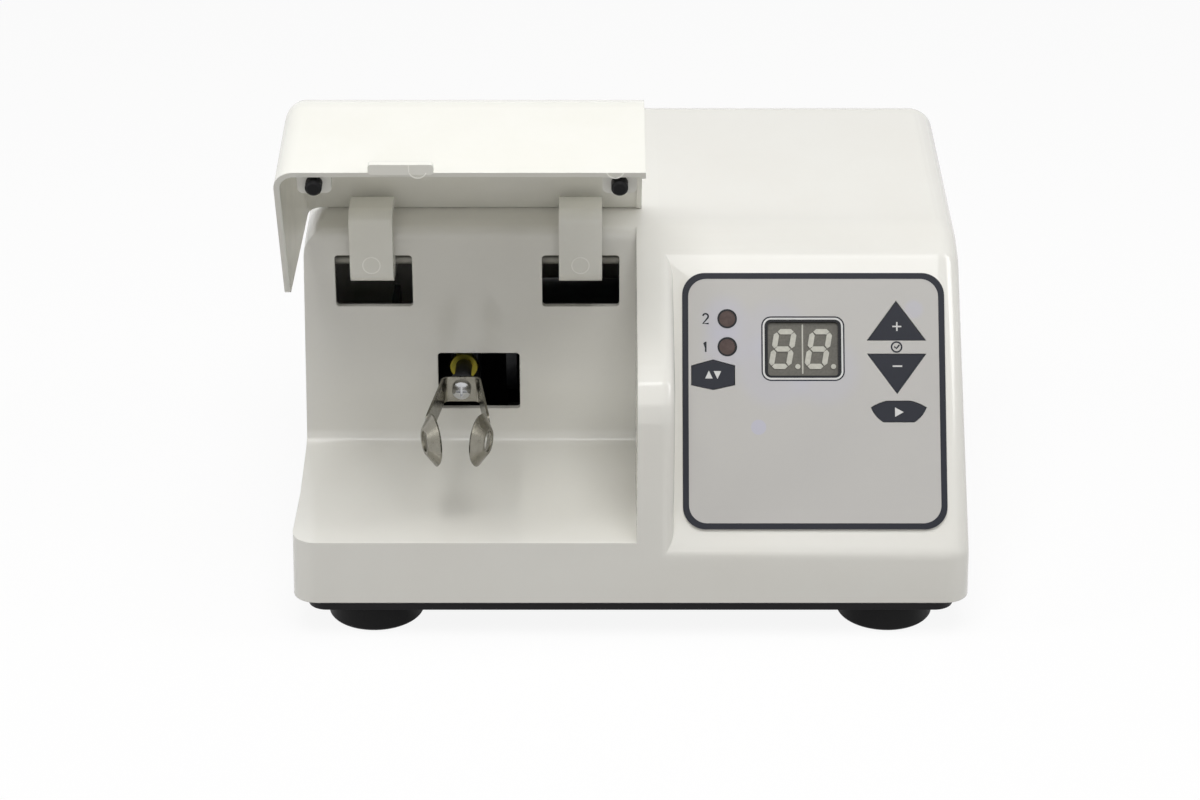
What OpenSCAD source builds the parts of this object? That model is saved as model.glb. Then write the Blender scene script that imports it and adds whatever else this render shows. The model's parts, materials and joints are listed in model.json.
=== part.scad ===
// Capsule mixer for a dental bench: a white casing with an open mixing chamber on
// the left, a hinged lid, a spring fork on a swinging arm, and an inclined panel.
// X runs to the right, Y to the back and Z up. The origin is on the ground, in the
// middle of the footprint. The modules draw in the casing's own frame, whose Y
// starts at the upright front and whose Z starts at the casing's lower edge.

/* [Casing] */
// Width of the casing at its lower edge
casing_w = 241; // [232:1:256]
// Depth of the casing
casing_d = 178; // [174:1:190]
// Wall thickness of the casing
casing_wall = 2.5; // [2.2:0.1:2.8]
// Rounding of the outer edges
edge_r = 9; // [8:0.5:10]
// Height where the upright front would meet the sloping top
front_h = 82.3; // [80:0.5:86]
// Radius of the bend from the upright front to the sloping top
bend_r = 20; // [16:1:22]
// Slope of the front part of the top, in degrees
front_slope = 25; // [24:0.5:26]
// Distance from the front to the fold where the slope eases
fold_y = 72; // [71:0.5:76]
// Radius of that fold
fold_r = 30; // [20:1:40]
// Slope of the rear part of the top, in degrees
top_slope = 6.5; // [5:0.5:8]
// Radius of the edge between the top and the back
back_r = 12; // [11:0.5:14]
// Draft of the two sides, in degrees
side_draft = 1.3; // [1:0.1:1.5]

/* [Chamber] */
// Right wall of the chamber, from the middle of the casing
chamber_x = 2; // [0:0.5:3]
// Height of the chamber's floor
floor_h = 24; // [22:0.5:25]
// Depth of the flat part of the floor
floor_flat = 39; // [34:1:44]
// Rise of the floor at the foot of the rear wall
floor_rise = 7; // [5:0.5:8]
// Distance from the front to the rear wall of the chamber
rear_wall_y = 69; // [68:0.5:70]
// Radius at the foot of the rear wall
foot_fold_r = 6; // [4:0.5:8]
// Radius at the top of the rear wall
wall_top_r = 7; // [5:0.5:8]
// Width of the upright strip between the chamber and the panel
strip_w = 13; // [12:0.5:15]
// Rounding of the strip's right edge
strip_r = 5; // [4:0.5:6]

/* [Windows] */
// Distance from the casing's left side to the middle of the left hinge window
left_hinge_in = 27.5; // [24.5:0.5:30.5]
// Distance from the chamber's right wall to the middle of the right hinge window
right_hinge_in = 20; // [19:0.5:22]
// Width of a hinge window
hinge_window_w = 28; // [27:0.5:30]
// Height of a hinge window
hinge_window_h = 20; // [19.5:0.5:21]
// Distance from the hinge axis down to a hinge window's sill
hinge_sill_drop = 16; // [15.8:0.1:17]
// Distance from the chamber's right wall to the middle of the fork's window
fork_window_in = 57.5; // [56:0.5:60]
// Width of the fork's window
fork_window_w = 30; // [28:0.5:34]
// Height of the fork's window
fork_window_h = 22.4; // [20:0.2:26]

/* [Lid] */
// Thickness of the lid's wall
lid_wall = 2; // [1.6:0.1:2.2]
// Gap between the lid's inside and the strip that it overlaps
lid_gap = 1; // [0.7:0.1:1.2]
// Overlap of the lid on the strip
lid_overlap = 2.1; // [1.5:0.1:3]
// Distance of the lid's left side inside the casing's side
lid_side_inset = 1.7; // [1.5:0.1:3]
// Gap between the closed lid's front edge and the floor
lid_floor_gap = 1; // [0.6:0.1:1.5]
// Rounding between the lid's top and its left side
lid_corner_r = 7; // [6:0.5:8]
// Gap between the rear edge of the open lid and the casing's top
lid_rest_gap = 0.4; // [0.3:0.1:1]
// Distance from the front to the tip of the lid's left side
lid_tip_y = 52; // [48:0.5:54]
// Height of that tip over the floor
lid_tip_rise = 14; // [12:0.5:18]
// Angle through which the lid opens
lid_opening = 81; // [78:0.5:81]
// Width of the finger lip on the lid's front edge
lip_w = 21.5; // [16:0.5:30]
// Distance that the finger lip stands out
lip_d = 3; // [2:0.5:4]
// Distance from the casing's left side to the middle of the finger lip
lip_in = 44; // [35:0.5:55]
// Diameter of a lid buffer
buffer_d = 5.6; // [5:0.1:6.5]
// Distance from the casing's left side to the middle of the left lid buffer
left_buffer_in = 15; // [13:0.5:20]
// Distance from the chamber's right wall to the middle of the right lid buffer
right_buffer_in = 6.5; // [6:0.5:10]

/* [Lid hinge] */
// Distance of the hinge axis behind the chamber's rear wall
hinge_setback = 7; // [6.8:0.1:7.2]
// Distance of the hinge axis below the top of the chamber's rear wall
hinge_drop = 13.5; // [13:0.1:14]
// Diameter of the hinge rod
rod_d = 4; // [3:0.1:4.2]
// Radial clearance of the rod in the lid's arms
rod_clearance = 0.08; // [0.05:0.01:0.1]
// Outer diameter of the arms' barrels
barrel_d = 8; // [7.4:0.1:8.4]
// Width of a lid arm
arm_w = 15.5; // [13:0.5:17]
// Thickness of a lid arm
arm_t = 3; // [2.6:0.1:3.2]
// Reach of a lid arm in front of the axis
arm_reach = 15.5; // [15.2:0.1:15.6]
// Rise of an open lid's arm above the axis
arm_rise = 24; // [23:0.5:25]

/* [Capsule fork] */
// Distance from the chamber's right wall to the middle of the fork
fork_in = 63.5; // [62:0.5:64.5]
// Height of the fork
fork_h = 56.5; // [55.5:0.5:57.5]
// Distance from the front to the fork's base plate
fork_y = 59; // [57:0.5:60]
// Thickness of the spring steel
fork_t = 0.8; // [0.6:0.1:1]
// Width of the base plate between the arms
fork_base_w = 13; // [12:0.5:15]
// Width of the steel strip
fork_strip_w = 9.7; // [9:0.1:11]
// Diameter of the discs at the ends of the arms
fork_disc_d = 19; // [17:0.5:20]
// Diameter of the hole in each disc
fork_hole_d = 7.5; // [6:0.5:9]
// Distance from the front to the centre of the discs
fork_disc_y = 15; // [14:0.5:17]
// Splay of each arm, in degrees
fork_splay = 9; // [6:0.5:11]
// Inward bend of the front of each disc, in degrees
fork_bend = 35; // [25:1:40]

/* [Swing drive] */
// Distance from the front to the motor's shaft
shaft_y = 102; // [101:0.5:103]
// Outer diameter of the arm's hub
hub_d = 34; // [33:0.5:36]
// Outer diameter of the hub's ball bearing
bearing_d = 28; // [26:0.5:29]
// Bore of that bearing
bearing_bore = 12; // [11.8:0.1:12.4]
// Width of that bearing
bearing_w = 8; // [7:0.5:8]
// Diameter of the oblique sleeve
sleeve_d = 9; // [8.5:0.1:9.2]
// Skew of the oblique sleeve, in degrees
sleeve_skew = 6.5; // [5:0.5:7]
// Diameter of the motor's shaft
shaft_d = 5; // [4.5:0.1:5.5]
// Diameter of the motor
motor_d = 48; // [46:0.5:50]
// Length of the motor's can
motor_l = 62; // [56:1:66]
// Distance from the fork's middle to the left end of the motor
motor_in = 27.5; // [26.5:0.5:28.5]
// Diameter of the balance disc
disc_d = 36; // [30:0.5:38]
// Diameter of the threaded arm rod
stud_d = 6; // [5:0.1:6.4]

/* [Panel] */
// Height at which the inclined panel starts
panel_foot = 19.4; // [18:0.2:21]
// Slope of the panel, in degrees from level
panel_slope = 56.8; // [56:0.2:58]
// Distance from the upright strip to the overlay
overlay_left = 3.25; // [2.5:0.25:4]
// Distance from the overlay to the casing's right side
overlay_right = 8.75; // [8.5:0.25:10]
// Distance from the panel's lower edge up the slope to the overlay's middle
overlay_v = 54.8; // [54:0.2:56]
// Height of the overlay, up the slope
overlay_h = 92; // [88:0.5:92]
// Corner radius of the overlay
overlay_r = 8; // [6:0.5:10]
// Thickness of the overlay
overlay_t = 0.8; // [0.6:0.1:1]
// Gap around a key
key_gap = 0.2; // [0.15:0.05:0.3]
// Travel of a key
key_travel = 0.4; // [0.3:0.05:0.5]
// Width of the display window
display_w = 29.6; // [28:0.2:31]
// Height of the display window
display_h = 23.3; // [22:0.1:24]
// Height of a digit
digit_h = 14.4; // [12:0.2:15]
// Distance between the two digits
digit_pitch = 12.7; // [12:0.1:13.2]
// Diameter of an indicator window
indicator_d = 6.2; // [5:0.1:7]

/* [Base] */
// Height of the feet
foot_h = 9; // [7:0.5:11]
// Diameter of the feet
foot_d = 34.5; // [30:0.5:36]
// Distance of the base tray inside the casing
tray_inset = 5; // [4.5:0.1:6]
// Height of base tray that shows below the casing
tray_show = 5; // [4:0.5:6]
// Thickness of the base tray
tray_t = 2.5; // [2:0.1:3]
// Height of the tray's rim inside the casing
rim_h = 12; // [9:0.5:14]
// Distance from the tray's sides to the middle of the feet
foot_in = 23.5; // [20:0.5:28]
// Distance from the front to the front feet
front_foot_y = 21; // [20:0.5:26]
// Distance from the back to the rear feet
rear_foot_y = 22; // [20:0.5:28]

/* [Places] */
// Distance from the upright front to the middle of the whole footprint, lid open
origin_y = 86.5; // [84:0.5:90]

/* [Hidden] */
$fn = 48;
eps = 0.01;
far = 400;
ball_fn = 32;

// Places in the whole object
base_z = foot_h + tray_show;
module at_casing() translate([0, -origin_y, base_z]) children();

// Side profile of the casing, in Y and Z
function unit(a) = [cos(a), sin(a)];
function inset(p, a1, a2, r) = p - r / cos((a1 - a2) / 2) * unit((a1 + a2) / 2);
function round_at(p, a1, a2, big_r, r, n) = [for (i = [0:n])
    inset(p, a1, a2, big_r) + (big_r - r) * unit(a1 + (a2 - a1) * i / n)];
front_a = 180;
panel_a = 90 + panel_slope;
slope_a = 90 + front_slope;
top_a = 90 + top_slope;
back_a = 0;
bend_p = [0, front_h];
function slope_z(y) = front_h + y * tan(front_slope);
fold_p = [fold_y, slope_z(fold_y)];
function top_z(y) = fold_p[1] + (y - fold_y) * tan(top_slope);
back_p = [casing_d, top_z(casing_d)];
foot_p = [0, panel_foot];
brow_y = (front_h - panel_foot) / (tan(panel_slope) - tan(front_slope));
brow_p = [brow_y, slope_z(brow_y)];
strip_x = chamber_x + strip_w;
function half_w(z) = casing_w / 2 - z * tan(side_draft);
left_hinge_x = left_hinge_in - casing_w / 2;
right_hinge_x = chamber_x - right_hinge_in;
fork_window_x = chamber_x - fork_window_in;
fork_x = chamber_x - fork_in;
motor_x = fork_x + motor_in;
lip_x = lip_in - casing_w / 2;
left_buffer_x = left_buffer_in - casing_w / 2;
right_buffer_x = chamber_x - right_buffer_in;
overlay_w = casing_w / 2 - strip_x - overlay_left - overlay_right;
overlay_x = strip_x + overlay_left + overlay_w / 2;

function rear_centres(r) = concat(
    round_at(fold_p, slope_a, top_a, fold_r, r, 2),
    round_at(back_p, top_a, back_a, back_r, r, 2));
function strip_centres(r) = concat(
    round_at(bend_p, front_a, slope_a, bend_r, r, 3), rear_centres(r));
function panel_centres(r) = concat(
    round_at(foot_p, front_a, panel_a, edge_r, r, 1),
    round_at(brow_p, panel_a, slope_a, edge_r, r, 1), rear_centres(r));

module ball(r) rotate_extrude($fn = ball_fn) intersection() {
    circle(r, $fn = ball_fn);
    translate([0, -r]) square([r, 2 * r]);
}
module ball_at(x, c, r) translate([x, c[0], c[1]]) ball(r);
module post_at(x, y, r, down) translate([x, y, -down]) cylinder(r = r, h = down + eps, $fn = ball_fn);

// One half of the casing's outside, or of its hollow when cut is the wall
module half_casing(centres, x1, r1, x2, r2, cut) {
    down = cut > 0 ? 1 : 0;
    hull() {
        for (c = centres[0]) ball_at(x1 < -casing_w / 4 ? r1 - half_w(c[1]) : x1, c, r1 - cut);
        for (c = centres[1]) ball_at(x2 > casing_w / 4 ? half_w(c[1]) - r2 : x2 - r2, c, r2 - cut);
        for (y = [r1, casing_d - r1])
            post_at(x1 < -casing_w / 4 ? r1 - casing_w / 2 : x1, y, r1 - cut, down);
        for (y = [r2, casing_d - r2])
            post_at(x2 > casing_w / 4 ? casing_w / 2 - r2 : x2 - r2, y, r2 - cut, down);
    }
}
module casing_body(cut) {
    half_casing([strip_centres(edge_r), strip_centres(strip_r)], -casing_w / 2, edge_r, strip_x, strip_r, cut);
    half_casing([panel_centres(edge_r), panel_centres(edge_r)],
        -edge_r, edge_r, casing_w / 2, edge_r, cut);
}

module along_x(x1, x2) translate([x1, 0, 0]) rotate([90, 0, 90]) linear_extrude(x2 - x1) children();

// Hollow of the chamber in Y and Z, grown by g behind and below its surfaces
wall_top_c = [rear_wall_y + wall_top_r, slope_z(rear_wall_y) - wall_top_r * tan((90 - front_slope) / 2)];
floor_tilt = atan(floor_rise / (rear_wall_y - floor_flat));
module chamber_2d(g) {
    y2 = rear_wall_y + g;
    z2 = floor_h + floor_rise - g / cos(floor_tilt) + g * tan(floor_tilt);
    r = foot_fold_r + g;
    fold_c = [y2 - r, z2 + r / cos(floor_tilt) - r * tan(floor_tilt)];
    tangent = wall_top_c + wall_top_r * unit(slope_a);
    difference() {
        polygon([[-50, floor_h - g], [floor_flat, floor_h - g], [y2, z2],
            [y2, wall_top_c[1]], tangent, tangent + 60 * unit(slope_a), [-50, far / 2]]);
        translate(wall_top_c) circle(wall_top_r - g);
        difference() {
            polygon([fold_c, [y2 + eps, fold_c[1]], [y2 + eps, z2 - eps],
                fold_c + (r + eps) * unit(floor_tilt - 90)]);
            translate(fold_c) circle(r);
        }
    }
}
hinge_y = rear_wall_y + hinge_setback;
hinge_h = slope_z(rear_wall_y) - hinge_drop;
sill_z = hinge_h - hinge_sill_drop;
module window(x, z, w, h, r) translate([x - w / 2, rear_wall_y - 10, z])
    rotate([90, 0, 0]) mirror([0, 0, 1]) linear_extrude(30) rounded(w, h, r);
module rounded(w, h, r) {
    translate([r, 0]) square([w - 2 * r, h]);
    translate([0, r]) square([w, h - 2 * r]);
    for (x = [r, w - r]) for (y = [r, h - r]) translate([x, y]) circle(r);
}

// The inclined panel: X across, Y up the slope from its lower edge, Z outward
module at_panel() translate([0, 0, panel_foot]) rotate([panel_slope, 0, 0]) children();
module at_overlay() at_panel() translate([overlay_x, overlay_v, 0]) children();
lamp_p = [[-30.7, 29.4], [-30.8, 19.3]];
mode_p = [-35.8, 9.2];
display_p = [-3.8, 18.6];
adjust_x = 29.5;
start_p = [30, -4];
module mode_2d(g) offset(delta = g) polygon([[-7.6, -3.6], [0, -5.3], [7.6, -3.6], [7.6, 3.2],
    [0, 5.3], [-7.6, 3.2]]);
module up_2d(g) offset(delta = g) polygon([[-10.2, 21.7], [10.2, 21.7], [0, 35.6]]);
module down_2d(g) offset(delta = g) polygon([[-10.2, 16.6], [10.2, 16.6], [0, 2.6]]);
module start_2d(g) intersection() {
    square([20.2 + 2 * g, 7.4 + 2 * g], center = true);
    translate([0, 5.2]) circle(10.4 + g, $fn = 96);
    translate([0, -14]) circle(18.2 + g, $fn = 96);
}
module keys_2d(g) {
    translate(mode_p) mode_2d(g);
    translate([adjust_x, 0]) up_2d(g);
    translate([adjust_x, 0]) down_2d(g);
    translate(start_p) start_2d(g);
}

// Casing: a moulded shell with the chamber, the windows and the panel's cut-outs
boss_d = 9;
boss_top = floor_h - casing_wall / 2;
boss_x = casing_w / 2 - 14;
boss_web = 14 - casing_wall + 0.3 - boss_top * tan(side_draft);
boss_y = [40, casing_d - 44];
screw_d = 3.2;
vent_n = 9;
vent_w = 3;
vent_h = 34;
vent_pitch = 7;
vent_x = -24;
vent_z = 62;
inlet_x = casing_w / 2 - 36.5;
inlet_z = 26;
inlet_w = 27.4;
inlet_h = 19.8;
switch_x = inlet_x - 40;
switch_w = 21;
switch_h = 15;
fuse_x = switch_x - 29;
fuse_d = 12.4;
module casing_hollow() difference() {
    casing_body(casing_wall);
    along_x(-casing_w, chamber_x + casing_wall) chamber_2d(casing_wall);
}
module casing() color("white") {
    difference() {
        casing_body(0);
        casing_hollow();
        along_x(-casing_w, chamber_x) chamber_2d(0);
        for (x = [left_hinge_x, right_hinge_x])
            window(x, sill_z, hinge_window_w, hinge_window_h, 1.2);
        window(fork_window_x, fork_h - fork_window_h / 2 - 1.3, fork_window_w, fork_window_h, 1.2);
        at_overlay() translate([0, 0, -10]) linear_extrude(30) {
            keys_2d(key_gap + 0.3);
            translate(display_p) square([display_w - 2, display_h - 2], center = true);
            for (p = lamp_p) translate(p) circle(d = indicator_d);
        }
        rear_cutouts();
    }
    for (s = [-1, 1]) for (y = boss_y) difference() {
        union() {
            translate([s * boss_x, y, rim_gap]) cylinder(d = boss_d, h = boss_top - rim_gap);
            translate([s > 0 ? boss_x : -boss_x - boss_web, y - 1.5, rim_h + rim_gap])
                cube([boss_web, 3, boss_top - rim_h - rim_gap]);
        }
        translate([s * boss_x, y, 0]) cylinder(d = screw_d - 0.2, h = boss_top - casing_wall - 1);
    }
}
module rear_cutouts() {
    for (i = [0:vent_n - 1])
        translate([vent_x - vent_pitch * i, casing_d - 10, vent_z]) cube([vent_w, 20, vent_h]);
    translate([inlet_x - inlet_w / 2, casing_d - 10, inlet_z - inlet_h / 2]) cube([inlet_w, 20, inlet_h]);
    translate([switch_x - switch_w / 2, casing_d - 10, inlet_z - switch_h / 2])
        cube([switch_w, 20, switch_h]);
    translate([fuse_x, casing_d - 10, inlet_z]) rotate([-90, 0, 0]) cylinder(d = fuse_d, h = 20);
    for (s = [-1, 1]) translate([inlet_x + s * 20, casing_d - 10, inlet_z])
        rotate([-90, 0, 0]) cylinder(d = screw_d, h = 20);
}

// Base tray, feet and the screws that hold them
rim_gap = 0.4;
tray_x = casing_w / 2 - tray_inset;
tray_floor = tray_t - tray_show;
tray_r = edge_r - 2;
foot_x = tray_x - foot_in;
foot_y = [front_foot_y, casing_d - rear_foot_y];
module tray_2d(g) translate([-tray_x + g, tray_inset - 1 + g])
    rounded(2 * (tray_x - g), casing_d - 2 * tray_inset + 2 - 2 * g, tray_r - g);
module base_tray() color([0.09, 0.09, 0.1]) difference() {
    union() {
        translate([0, 0, -tray_show]) linear_extrude(tray_t) tray_2d(0);
        translate([0, 0, -tray_show]) linear_extrude(tray_show + rim_h) difference() {
            tray_2d(0);
            tray_2d(tray_t);
        }
        for (s = [-1, 1]) for (y = boss_y) translate([s * boss_x, y, -tray_show])
            cylinder(d = boss_d, h = tray_show + rim_gap);
    }
    for (s = [-1, 1]) for (y = boss_y) {
        translate([s * boss_x, y, -tray_show - 1]) cylinder(d = screw_d + 0.3, h = 30);
        translate([s * boss_x, y, -tray_show - 1]) cylinder(d = 6.6, h = 3.2);
    }
    for (s = [-1, 1]) for (y = foot_y) translate([s * foot_x, y, -tray_show - 1])
        cylinder(d = 3.4, h = 10);
    for (x = [-60:12:60]) translate([x, casing_d / 2 - 30, -tray_show - 1]) cube([4, 60, 10]);
}

module foot(sx, y) color([0.07, 0.07, 0.07]) translate([sx * foot_x, y, -tray_show - foot_h])
    difference() {
        rotate_extrude($fn = 72) difference() {
            square([foot_d / 2, foot_h]);
            translate([foot_d / 2 - 2, 2]) difference() {
                translate([0, -3]) square([4, 3]);
                circle(2);
            }
            translate([foot_d / 2, 0]) rotate(7) translate([0, -1]) square([3, foot_h * 2]);
        }
        translate([0, 0, -1]) cylinder(d = 9, h = 5.5);
        cylinder(d = 3.6, h = foot_h + 1);
    }
module foot_front_left() foot(-1, foot_y[0]);
module foot_front_right() foot(1, foot_y[0]);
module foot_rear_left() foot(-1, foot_y[1]);
module foot_rear_right() foot(1, foot_y[1]);

// A pan-head screw that points along Z, with its head's underside at the origin
module pan_screw(d, l, head_d, head_h) {
    translate([0, 0, -l]) cylinder(d = d, h = l + eps);
    difference() {
        rotate_extrude() intersection() {
            square([head_d / 2, head_h]);
            translate([0, head_h - head_d * 0.9]) circle(head_d * 0.9);
        }
        for (a = [0, 90]) rotate(a) translate([-head_d * 0.28, -head_d * 0.06, head_h * 0.45])
            cube([head_d * 0.56, head_d * 0.12, head_h]);
    }
}
module foot_screws() color("silver") for (s = [-1, 1]) for (y = foot_y)
    translate([s * foot_x, y, 4.5 - tray_show - foot_h - 0.05]) rotate([180, 0, 0])
        pan_screw(3.2, foot_h - 4.5 + tray_t + 3, 7, 2.4);
module casing_screws() color("silver") for (s = [-1, 1]) for (y = boss_y)
    translate([s * boss_x, y, 2.2 - tray_show - 0.05]) rotate([180, 0, 0])
        pan_screw(screw_d - 0.3, boss_top - casing_wall - 2 - 2.2 + tray_show, 6, 2);

// Panel overlay, keys and the electronics behind them
module panel_overlay() color([0.72, 0.72, 0.72]) at_overlay() difference() {
    translate([-overlay_w / 2, -overlay_h / 2, 0]) linear_extrude(overlay_t)
        rounded(overlay_w, overlay_h, overlay_r);
    translate([0, 0, -1]) linear_extrude(5) {
        keys_2d(key_gap);
        translate([display_p[0] - display_w / 2, display_p[1] - display_h / 2])
            rounded(display_w, display_h, 3.5);
        for (p = lamp_p) translate(p) circle(d = indicator_d);
    }
}
board_drop = 8.5;
board_t = 1.6;
key_l = 3.6;
module key() color([0.23, 0.24, 0.27]) at_overlay() translate([0, 0, overlay_t - key_l])
    linear_extrude(key_l) children();
module key_mode() key() translate(mode_p) mode_2d(0);
module key_up() key() translate([adjust_x, 0]) up_2d(0);
module key_down() key() translate([adjust_x, 0]) down_2d(0);
module key_start() key() translate(start_p) start_2d(0);
switch_p = [mode_p, [adjust_x, 26.3], [adjust_x, 12], start_p];
module key_switches() color("dimgray") at_overlay() for (p = switch_p)
    translate([p[0], p[1], -board_drop]) {
        translate([-3, -3, 0]) cube([6, 6, 3.5]);
        cylinder(d = 3, h = board_drop + overlay_t - key_l - key_travel - 0.15);
    }
board_w = overlay_w - 7.5;
board_h = overlay_h - 16;
board_up = 4;
hole_x = board_w / 2 - 3;
hole_y = board_h / 2 - 3;
module control_board() color("darkgreen") at_overlay() translate([0, board_up, -board_drop - board_t])
    linear_extrude(board_t) difference() {
        translate([-board_w / 2, -board_h / 2]) rounded(board_w, board_h, 2);
        for (x = [-hole_x, hole_x]) for (y = [-hole_y, hole_y]) translate([x, y]) circle(d = 3.2);
    }
module board_spacers() color("silver") at_overlay() for (x = [-hole_x, hole_x]) for (y = [-hole_y, hole_y])
    translate([x, board_up + y, 0]) {
        translate([0, 0, -board_drop]) cylinder(d = 6, h = board_drop - casing_wall, $fn = 6);
        translate([0, 0, -board_drop - board_t - 0.05]) rotate([180, 0, 0]) pan_screw(3, 0.5, 5.6, 2);
    }
module display_module() color([0.06, 0.06, 0.07]) at_overlay() translate(display_p)
    translate([0, 0, -board_drop]) {
        translate([-12.6, -9.6, 0]) linear_extrude(board_drop - 0.9) square([25.2, 19.2]);
        translate([-12.6, -9.6, board_drop - 0.9]) cube([25.2, 19.2, 0.6]);
    }
seg_t = 1.9;
module segment(l) polygon([[-l / 2, 0], [-l / 2 + seg_t / 2, seg_t / 2], [l / 2 - seg_t / 2, seg_t / 2],
    [l / 2, 0], [l / 2 - seg_t / 2, -seg_t / 2], [-l / 2 + seg_t / 2, -seg_t / 2]]);
module digit_2d() {
    h = digit_h - seg_t;
    w = digit_h * 0.56 - seg_t;
    lean = tan(10);
    for (i = [-1:1]) translate([i * h / 2 * lean, i * h / 2]) segment(w - 0.5);
    for (s = [-1, 1]) for (t = [-1, 1]) translate([s * w / 2 + t * h / 4 * lean, t * h / 4])
        rotate(80) segment(h / 2 - 0.4);
}
module display_digits() color("gainsboro") at_overlay() translate(display_p)
    translate([0, 0, -0.3]) linear_extrude(0.3) for (s = [-1, 1])
        translate([s * digit_pitch / 2 - 0.8, 0]) {
            digit_2d();
            translate([digit_pitch * 0.42, 0.9 - digit_h / 2]) circle(d = 1.8);
        }
module indicator_lamps() color([0.35, 0.28, 0.26]) at_overlay() for (p = lamp_p) translate(p) {
    translate([0, 0, -board_drop]) cylinder(d = 3, h = board_drop - 2);
    translate([0, 0, -2]) cylinder(d = indicator_d - 0.4, h = 2 + overlay_t - 0.1);
}

// Lid: a shell of the strip's own profile, drawn closed and turned open
module at_lid() translate([0, hinge_y, hinge_h]) rotate([-lid_opening, 0, 0])
    translate([0, -hinge_y, -hinge_h]) children();
lid_out = lid_gap + lid_wall;
lid_x1 = lid_side_inset - casing_w / 2;
lid_x2 = chamber_x + lid_overlap;
lid_foot = floor_h + lid_floor_gap;
lid_tip = [lid_tip_y, floor_h + lid_tip_rise];
function lid_top(y, d) = slope_z(y) + (lid_out - d) / cos(front_slope);
// Clearance over the casing's top, with the lid open, of a point on the lid's inside at y
function rear_clear(y) = let (dy = hinge_y - y, dz = lid_top(y, lid_wall) - hinge_h)
    hinge_h + dy * sin(lid_opening) + dz * cos(lid_opening)
    - top_z(hinge_y - dy * cos(lid_opening) + dz * sin(lid_opening));
rear_try = hinge_y - 10;
lid_end_in_y = rear_try + (rear_clear(rear_try) - lid_rest_gap) / (rear_clear(rear_try) - rear_clear(rear_try + 1));
lid_end_y = lid_end_in_y - lid_wall * sin(front_slope);
lid_end = [lid_end_y, lid_top(lid_end_y, 0)];
lid_end_in = lid_end + lid_wall * [sin(front_slope), -cos(front_slope)];
function lid_centres(r) = concat(
    [[r - lid_out, lid_foot - 20]],
    round_at(bend_p + [-lid_out, lid_out * (1 / cos(front_slope) - tan(front_slope))],
        front_a, slope_a, bend_r + lid_out, r, 5),
    [[lid_end_y + 20, lid_top(lid_end_y + 20, r)], [lid_end_y + 20, lid_foot - 20]]);
module lid_solid(d, x2) hull() {
    for (c = lid_centres(lid_corner_r)) {
        ball_at(lid_x1 + lid_corner_r, c, lid_corner_r - d);
        translate([x2, c[0], c[1]]) rotate([0, 90, 0]) translate([0, 0, -1])
            cylinder(r = lid_corner_r - d, h = 1, $fn = ball_fn);
    }
}
module lid_outline() along_x(-casing_w, casing_w) {
    r = 3;
    u = (lid_end_in - lid_tip) / norm(lid_end_in - lid_tip);
    v = ([-lid_out, lid_foot] - lid_tip) / norm([-lid_out, lid_foot] - lid_tip);
    half = acos(u * v) / 2;
    c = lid_tip + (u + v) / norm(u + v) * r / sin(half);
    translate(c) circle(r);
    polygon([c + r * [u[1], -u[0]] , lid_end_in, lid_end + [0, 40], [-60, 120], [-60, lid_foot],
        [-lid_out, lid_foot], c + r * [-v[1], v[0]]]);
    polygon([c, c + r * [u[1], -u[0]], lid_end_in, [-lid_out, lid_foot], c + r * [-v[1], v[0]]]);
}
module lid_shell() color([0.96, 0.96, 0.94]) at_lid() {
    difference() {
        intersection() {
            lid_solid(0, lid_x2);
            lid_outline();
        }
        lid_solid(lid_wall, lid_x2 - lid_wall);
        lid_solid(lid_wall + lid_gap * 0.55, lid_x2 + 5);
    }
    translate([lip_x - lip_w / 2, -lid_out - lip_d, lid_foot])
        linear_extrude(lip_t) rounded(lip_w, lip_d + 1, 1);
    for (x = [left_buffer_x, right_buffer_x]) translate([x - 5.7, -lid_gap - 0.5, pad_z])
        linear_extrude(2) rounded(11.4, 8.5, 2);
}
pad_z = floor_h + 5;
lip_t = 2.4;
buffer_h = 4.6;
buffer_y = 3;
module lid_buffer(x) color([0.08, 0.08, 0.08]) at_lid() translate([x, buffer_y, pad_z - buffer_h])
    rotate_extrude() difference() {
        square([buffer_d / 2, buffer_h]);
        translate([buffer_d / 2, 0]) rotate(45) square(1.2, center = true);
    }
module lid_buffer_left() lid_buffer(left_buffer_x);
module lid_buffer_right() lid_buffer(right_buffer_x);
module lid_arm(x) color([0.95, 0.95, 0.93]) translate([x - arm_w / 2, 0, 0]) {
    w = arm_reach + 60;
    in_w = w - arm_t;
    translate([0, hinge_y, hinge_h]) intersection() {
        rotate([90, 0, 90]) linear_extrude(arm_w) difference() {
            union() {
                difference() {
                    translate([-arm_reach, -barrel_d / 2]) rounded(w, arm_rise + barrel_d / 2, 5);
                    translate([arm_t - arm_reach, arm_t - barrel_d / 2])
                        rounded(w, arm_rise + barrel_d / 2 - 2 * arm_t, 5 - arm_t);
                    translate([0, -far / 2 + arm_rise / 2]) square([far, far]);
                }
                difference() {
                    translate([-arm_reach, -barrel_d / 2]) rounded(w, arm_rise + barrel_d / 2, 5);
                    translate([arm_t - arm_reach, arm_t - barrel_d / 2])
                        rounded(w, arm_rise + barrel_d / 2 - 2 * arm_t, 5 - arm_t);
                    translate([0, -far]) square([far, 2 * far]);
                }
                circle(d = barrel_d);
            }
            circle(d = rod_d + 2 * rod_clearance);
        }
        rotate([-lid_opening, 0, 0]) translate([-1, -hinge_y, -hinge_h])
            rotate([90, 0, 90]) linear_extrude(arm_w + 2)
                polygon([[-50, lid_top(-50, lid_wall)], [150, lid_top(150, lid_wall)], [150, -100], [-50, -100]]);
    }
}
module lid_arm_left() lid_arm(left_hinge_x);
module lid_arm_right() lid_arm(right_hinge_x);
module lid_magnet() color("silver") translate([left_hinge_x, hinge_y - arm_reach + arm_t, hinge_h + 12])
    rotate([-90, 0, 0]) cylinder(d = 6, h = 2);

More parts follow.
